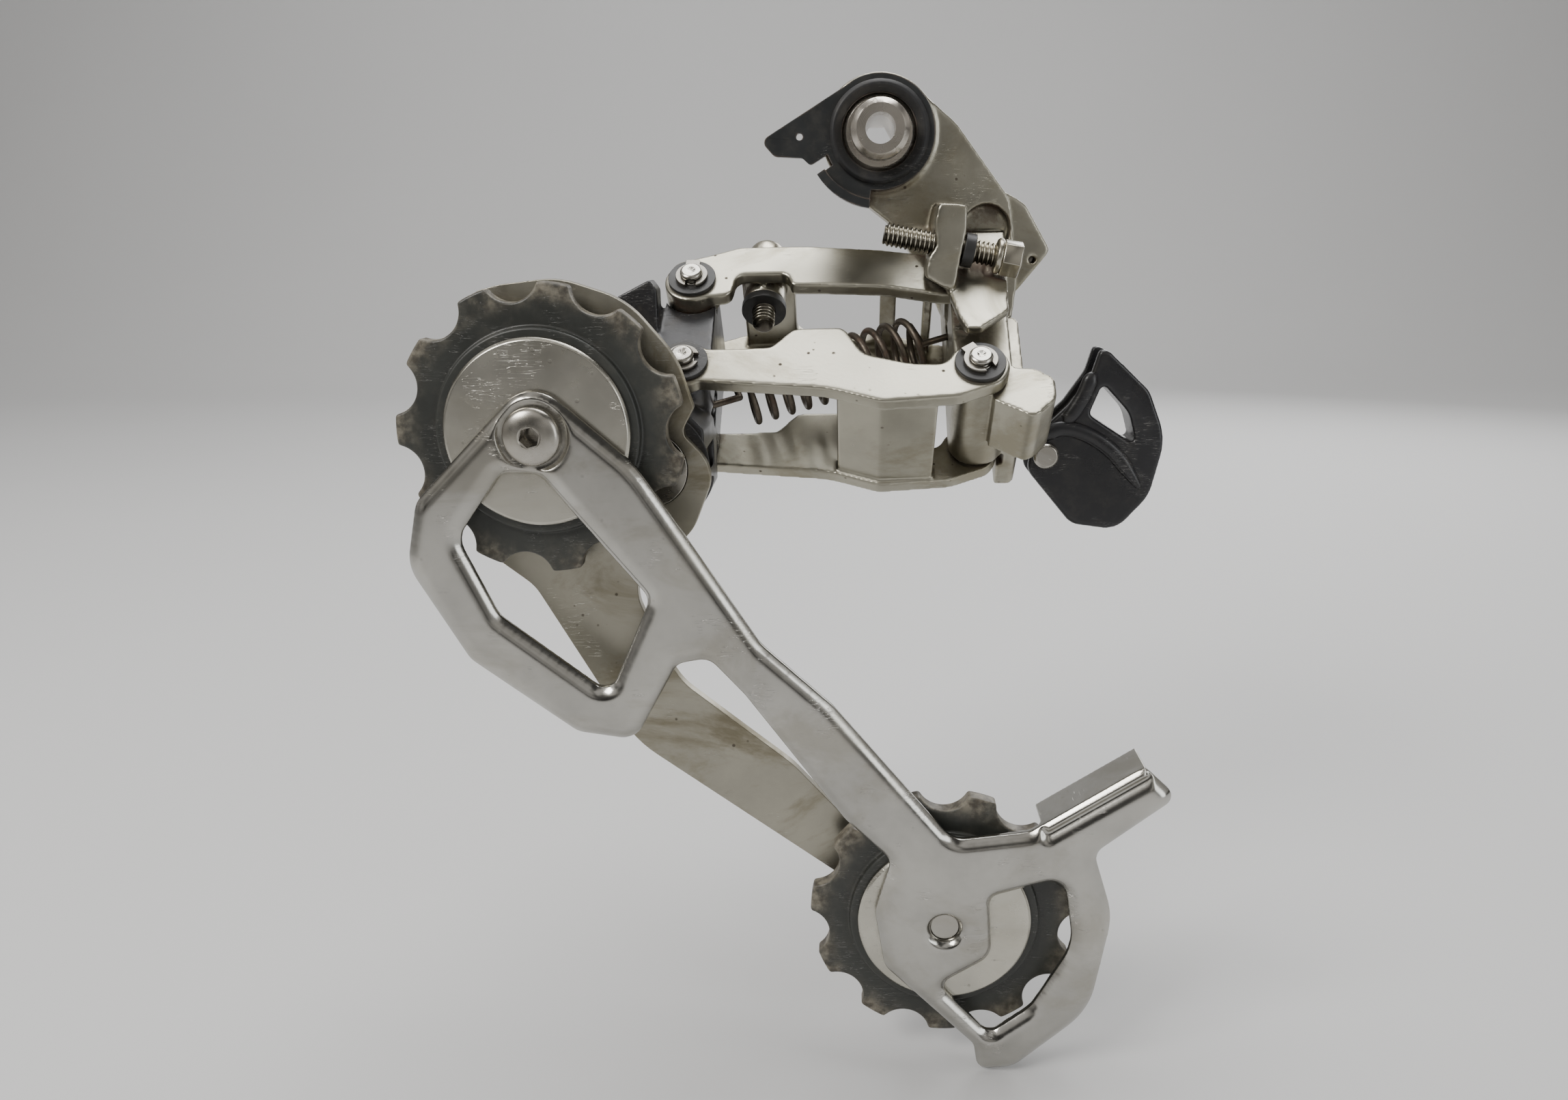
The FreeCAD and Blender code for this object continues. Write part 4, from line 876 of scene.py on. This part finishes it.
def make_stage():
    """A pale floor that curves up into a wall behind the part."""
    low, high = CAD_BOX
    floor_height = low[2] - 0.5 * MM
    width = 3.0
    front = -1.5
    reach = 1.3
    rise = 2.2
    radius = 0.45
    steps = 16
    profile = [(front, 0.0), (reach - radius, 0.0)]
    for step in range(1, steps + 1):
        turn = math.radians(90 * step / steps)
        profile.append((reach - radius + radius * math.sin(turn), radius - radius * math.cos(turn)))
    profile.append((reach, rise))
    work = bmesh.new()
    left = [work.verts.new((-width, y, floor_height + z)) for y, z in profile]
    right = [work.verts.new((width, y, floor_height + z)) for y, z in profile]
    for index in range(len(profile) - 1):
        work.faces.new((left[index], right[index], right[index + 1], left[index + 1])).smooth = True
    backdrop = new_piece("backdrop", mesh_from(work, "backdrop"))
    paint = Paint("backdrop_grey")
    tone = paint.noise(3, 3, 0.5)
    paint.set("Base Color", paint.mix(tone, (0.56, 0.56, 0.56), (0.60, 0.60, 0.60)))
    paint.set("Roughness", 0.85)
    backdrop.data.materials.append(paint.material)


def make_light(name, place, target, size, power, tint=(1, 1, 1)):
    light = bpy.data.lights.new(name, "AREA")
    light.shape = "RECTANGLE"
    light.size, light.size_y = size
    light.energy = power
    light.color = tint
    lamp = bpy.data.objects.new(name, light)
    bpy.context.scene.collection.objects.link(lamp)
    lamp.location = place
    lamp.rotation_euler = (Vector(target) - Vector(place)).to_track_quat("-Z", "Y").to_euler()


def make_studio():
    centre = (-0.01, -0.01, -0.06)
    make_light("key", (-0.42, -0.40, 0.40), centre, (0.30, 0.25), 3.6, (1.0, 0.98, 0.95))
    make_light("fill", (0.55, -0.42, 0.05), centre, (0.22, 0.45), 0.9, (0.95, 0.98, 1.0))
    make_light("top", (0.05, 0.10, 0.55), centre, (0.45, 0.30), 3.0)
    make_light("back", (0.35, 0.65, 0.25), centre, (0.4, 0.4), 2.2)
    make_light("wall", (-0.1, 0.35, 0.75), (-0.1, 1.2, 0.1), (1.2, 0.4), 7.0)
    make_room()


def make_room():
    """The soft surroundings that the metal reflects: lighter above, with broad dim patches."""
    world = bpy.data.worlds.new("studio")
    world.use_nodes = True
    tree = world.node_tree
    background = tree.nodes["Background"]
    facing = tree.nodes.new("ShaderNodeTexCoord").outputs["Generated"]
    split = tree.nodes.new("ShaderNodeSeparateXYZ")
    tree.links.new(facing, split.inputs[0])
    rise = tree.nodes.new("ShaderNodeMapRange")
    rise.interpolation_type = "SMOOTHSTEP"
    tree.links.new(split.outputs["Z"], rise.inputs["Value"])
    rise.inputs["From Min"].default_value = -0.5
    rise.inputs["From Max"].default_value = 0.6
    rise.inputs["To Min"].default_value = 0.04
    rise.inputs["To Max"].default_value = 0.40
    patches = tree.nodes.new("ShaderNodeTexNoise")
    tree.links.new(facing, patches.inputs["Vector"])
    patches.inputs["Scale"].default_value = 2.2
    patches.inputs["Detail"].default_value = 1.0
    spread = tree.nodes.new("ShaderNodeMapRange")
    spread.interpolation_type = "SMOOTHSTEP"
    tree.links.new(patches.outputs["Fac"], spread.inputs["Value"])
    spread.inputs["From Min"].default_value = 0.40
    spread.inputs["From Max"].default_value = 0.62
    spread.inputs["To Min"].default_value = 0.15
    spread.inputs["To Max"].default_value = 1.6
    strength = tree.nodes.new("ShaderNodeMath")
    strength.operation = "MULTIPLY"
    tree.links.new(rise.outputs["Result"], strength.inputs[0])
    tree.links.new(spread.outputs["Result"], strength.inputs[1])
    tree.links.new(strength.outputs[0], background.inputs["Strength"])
    background.inputs["Color"].default_value = (1.0, 0.97, 0.93, 1)
    bpy.context.scene.world = world


CAMERA_PLACE = Vector((-0.0051, -0.2169, -0.0163))
CAMERA_AHEAD = Vector((-0.05697, 0.96232, -0.26590))
CAMERA_UP = Vector((0.0, 0.26633, 0.96388))
SENSOR_WIDTH = 36.0
FOCAL_LENGTH = 26.66


def make_camera():
    """At the photograph's viewpoint: close to the wheel side, looking down a little."""
    data = bpy.data.cameras.new("camera")
    data.sensor_width = SENSOR_WIDTH
    data.lens = FOCAL_LENGTH
    data.clip_start = 0.01
    camera = bpy.data.objects.new("camera", data)
    bpy.context.scene.collection.objects.link(camera)
    ahead = CAMERA_AHEAD.normalized()
    right = ahead.cross(CAMERA_UP).normalized()
    up = right.cross(ahead)
    camera.matrix_world = Matrix.Translation(CAMERA_PLACE) @ Matrix((
        (right.x, up.x, -ahead.x, 0),
        (right.y, up.y, -ahead.y, 0),
        (right.z, up.z, -ahead.z, 0),
        (0, 0, 0, 1),
    ))
    bpy.context.scene.camera = camera


make_stage()
make_studio()
make_camera()
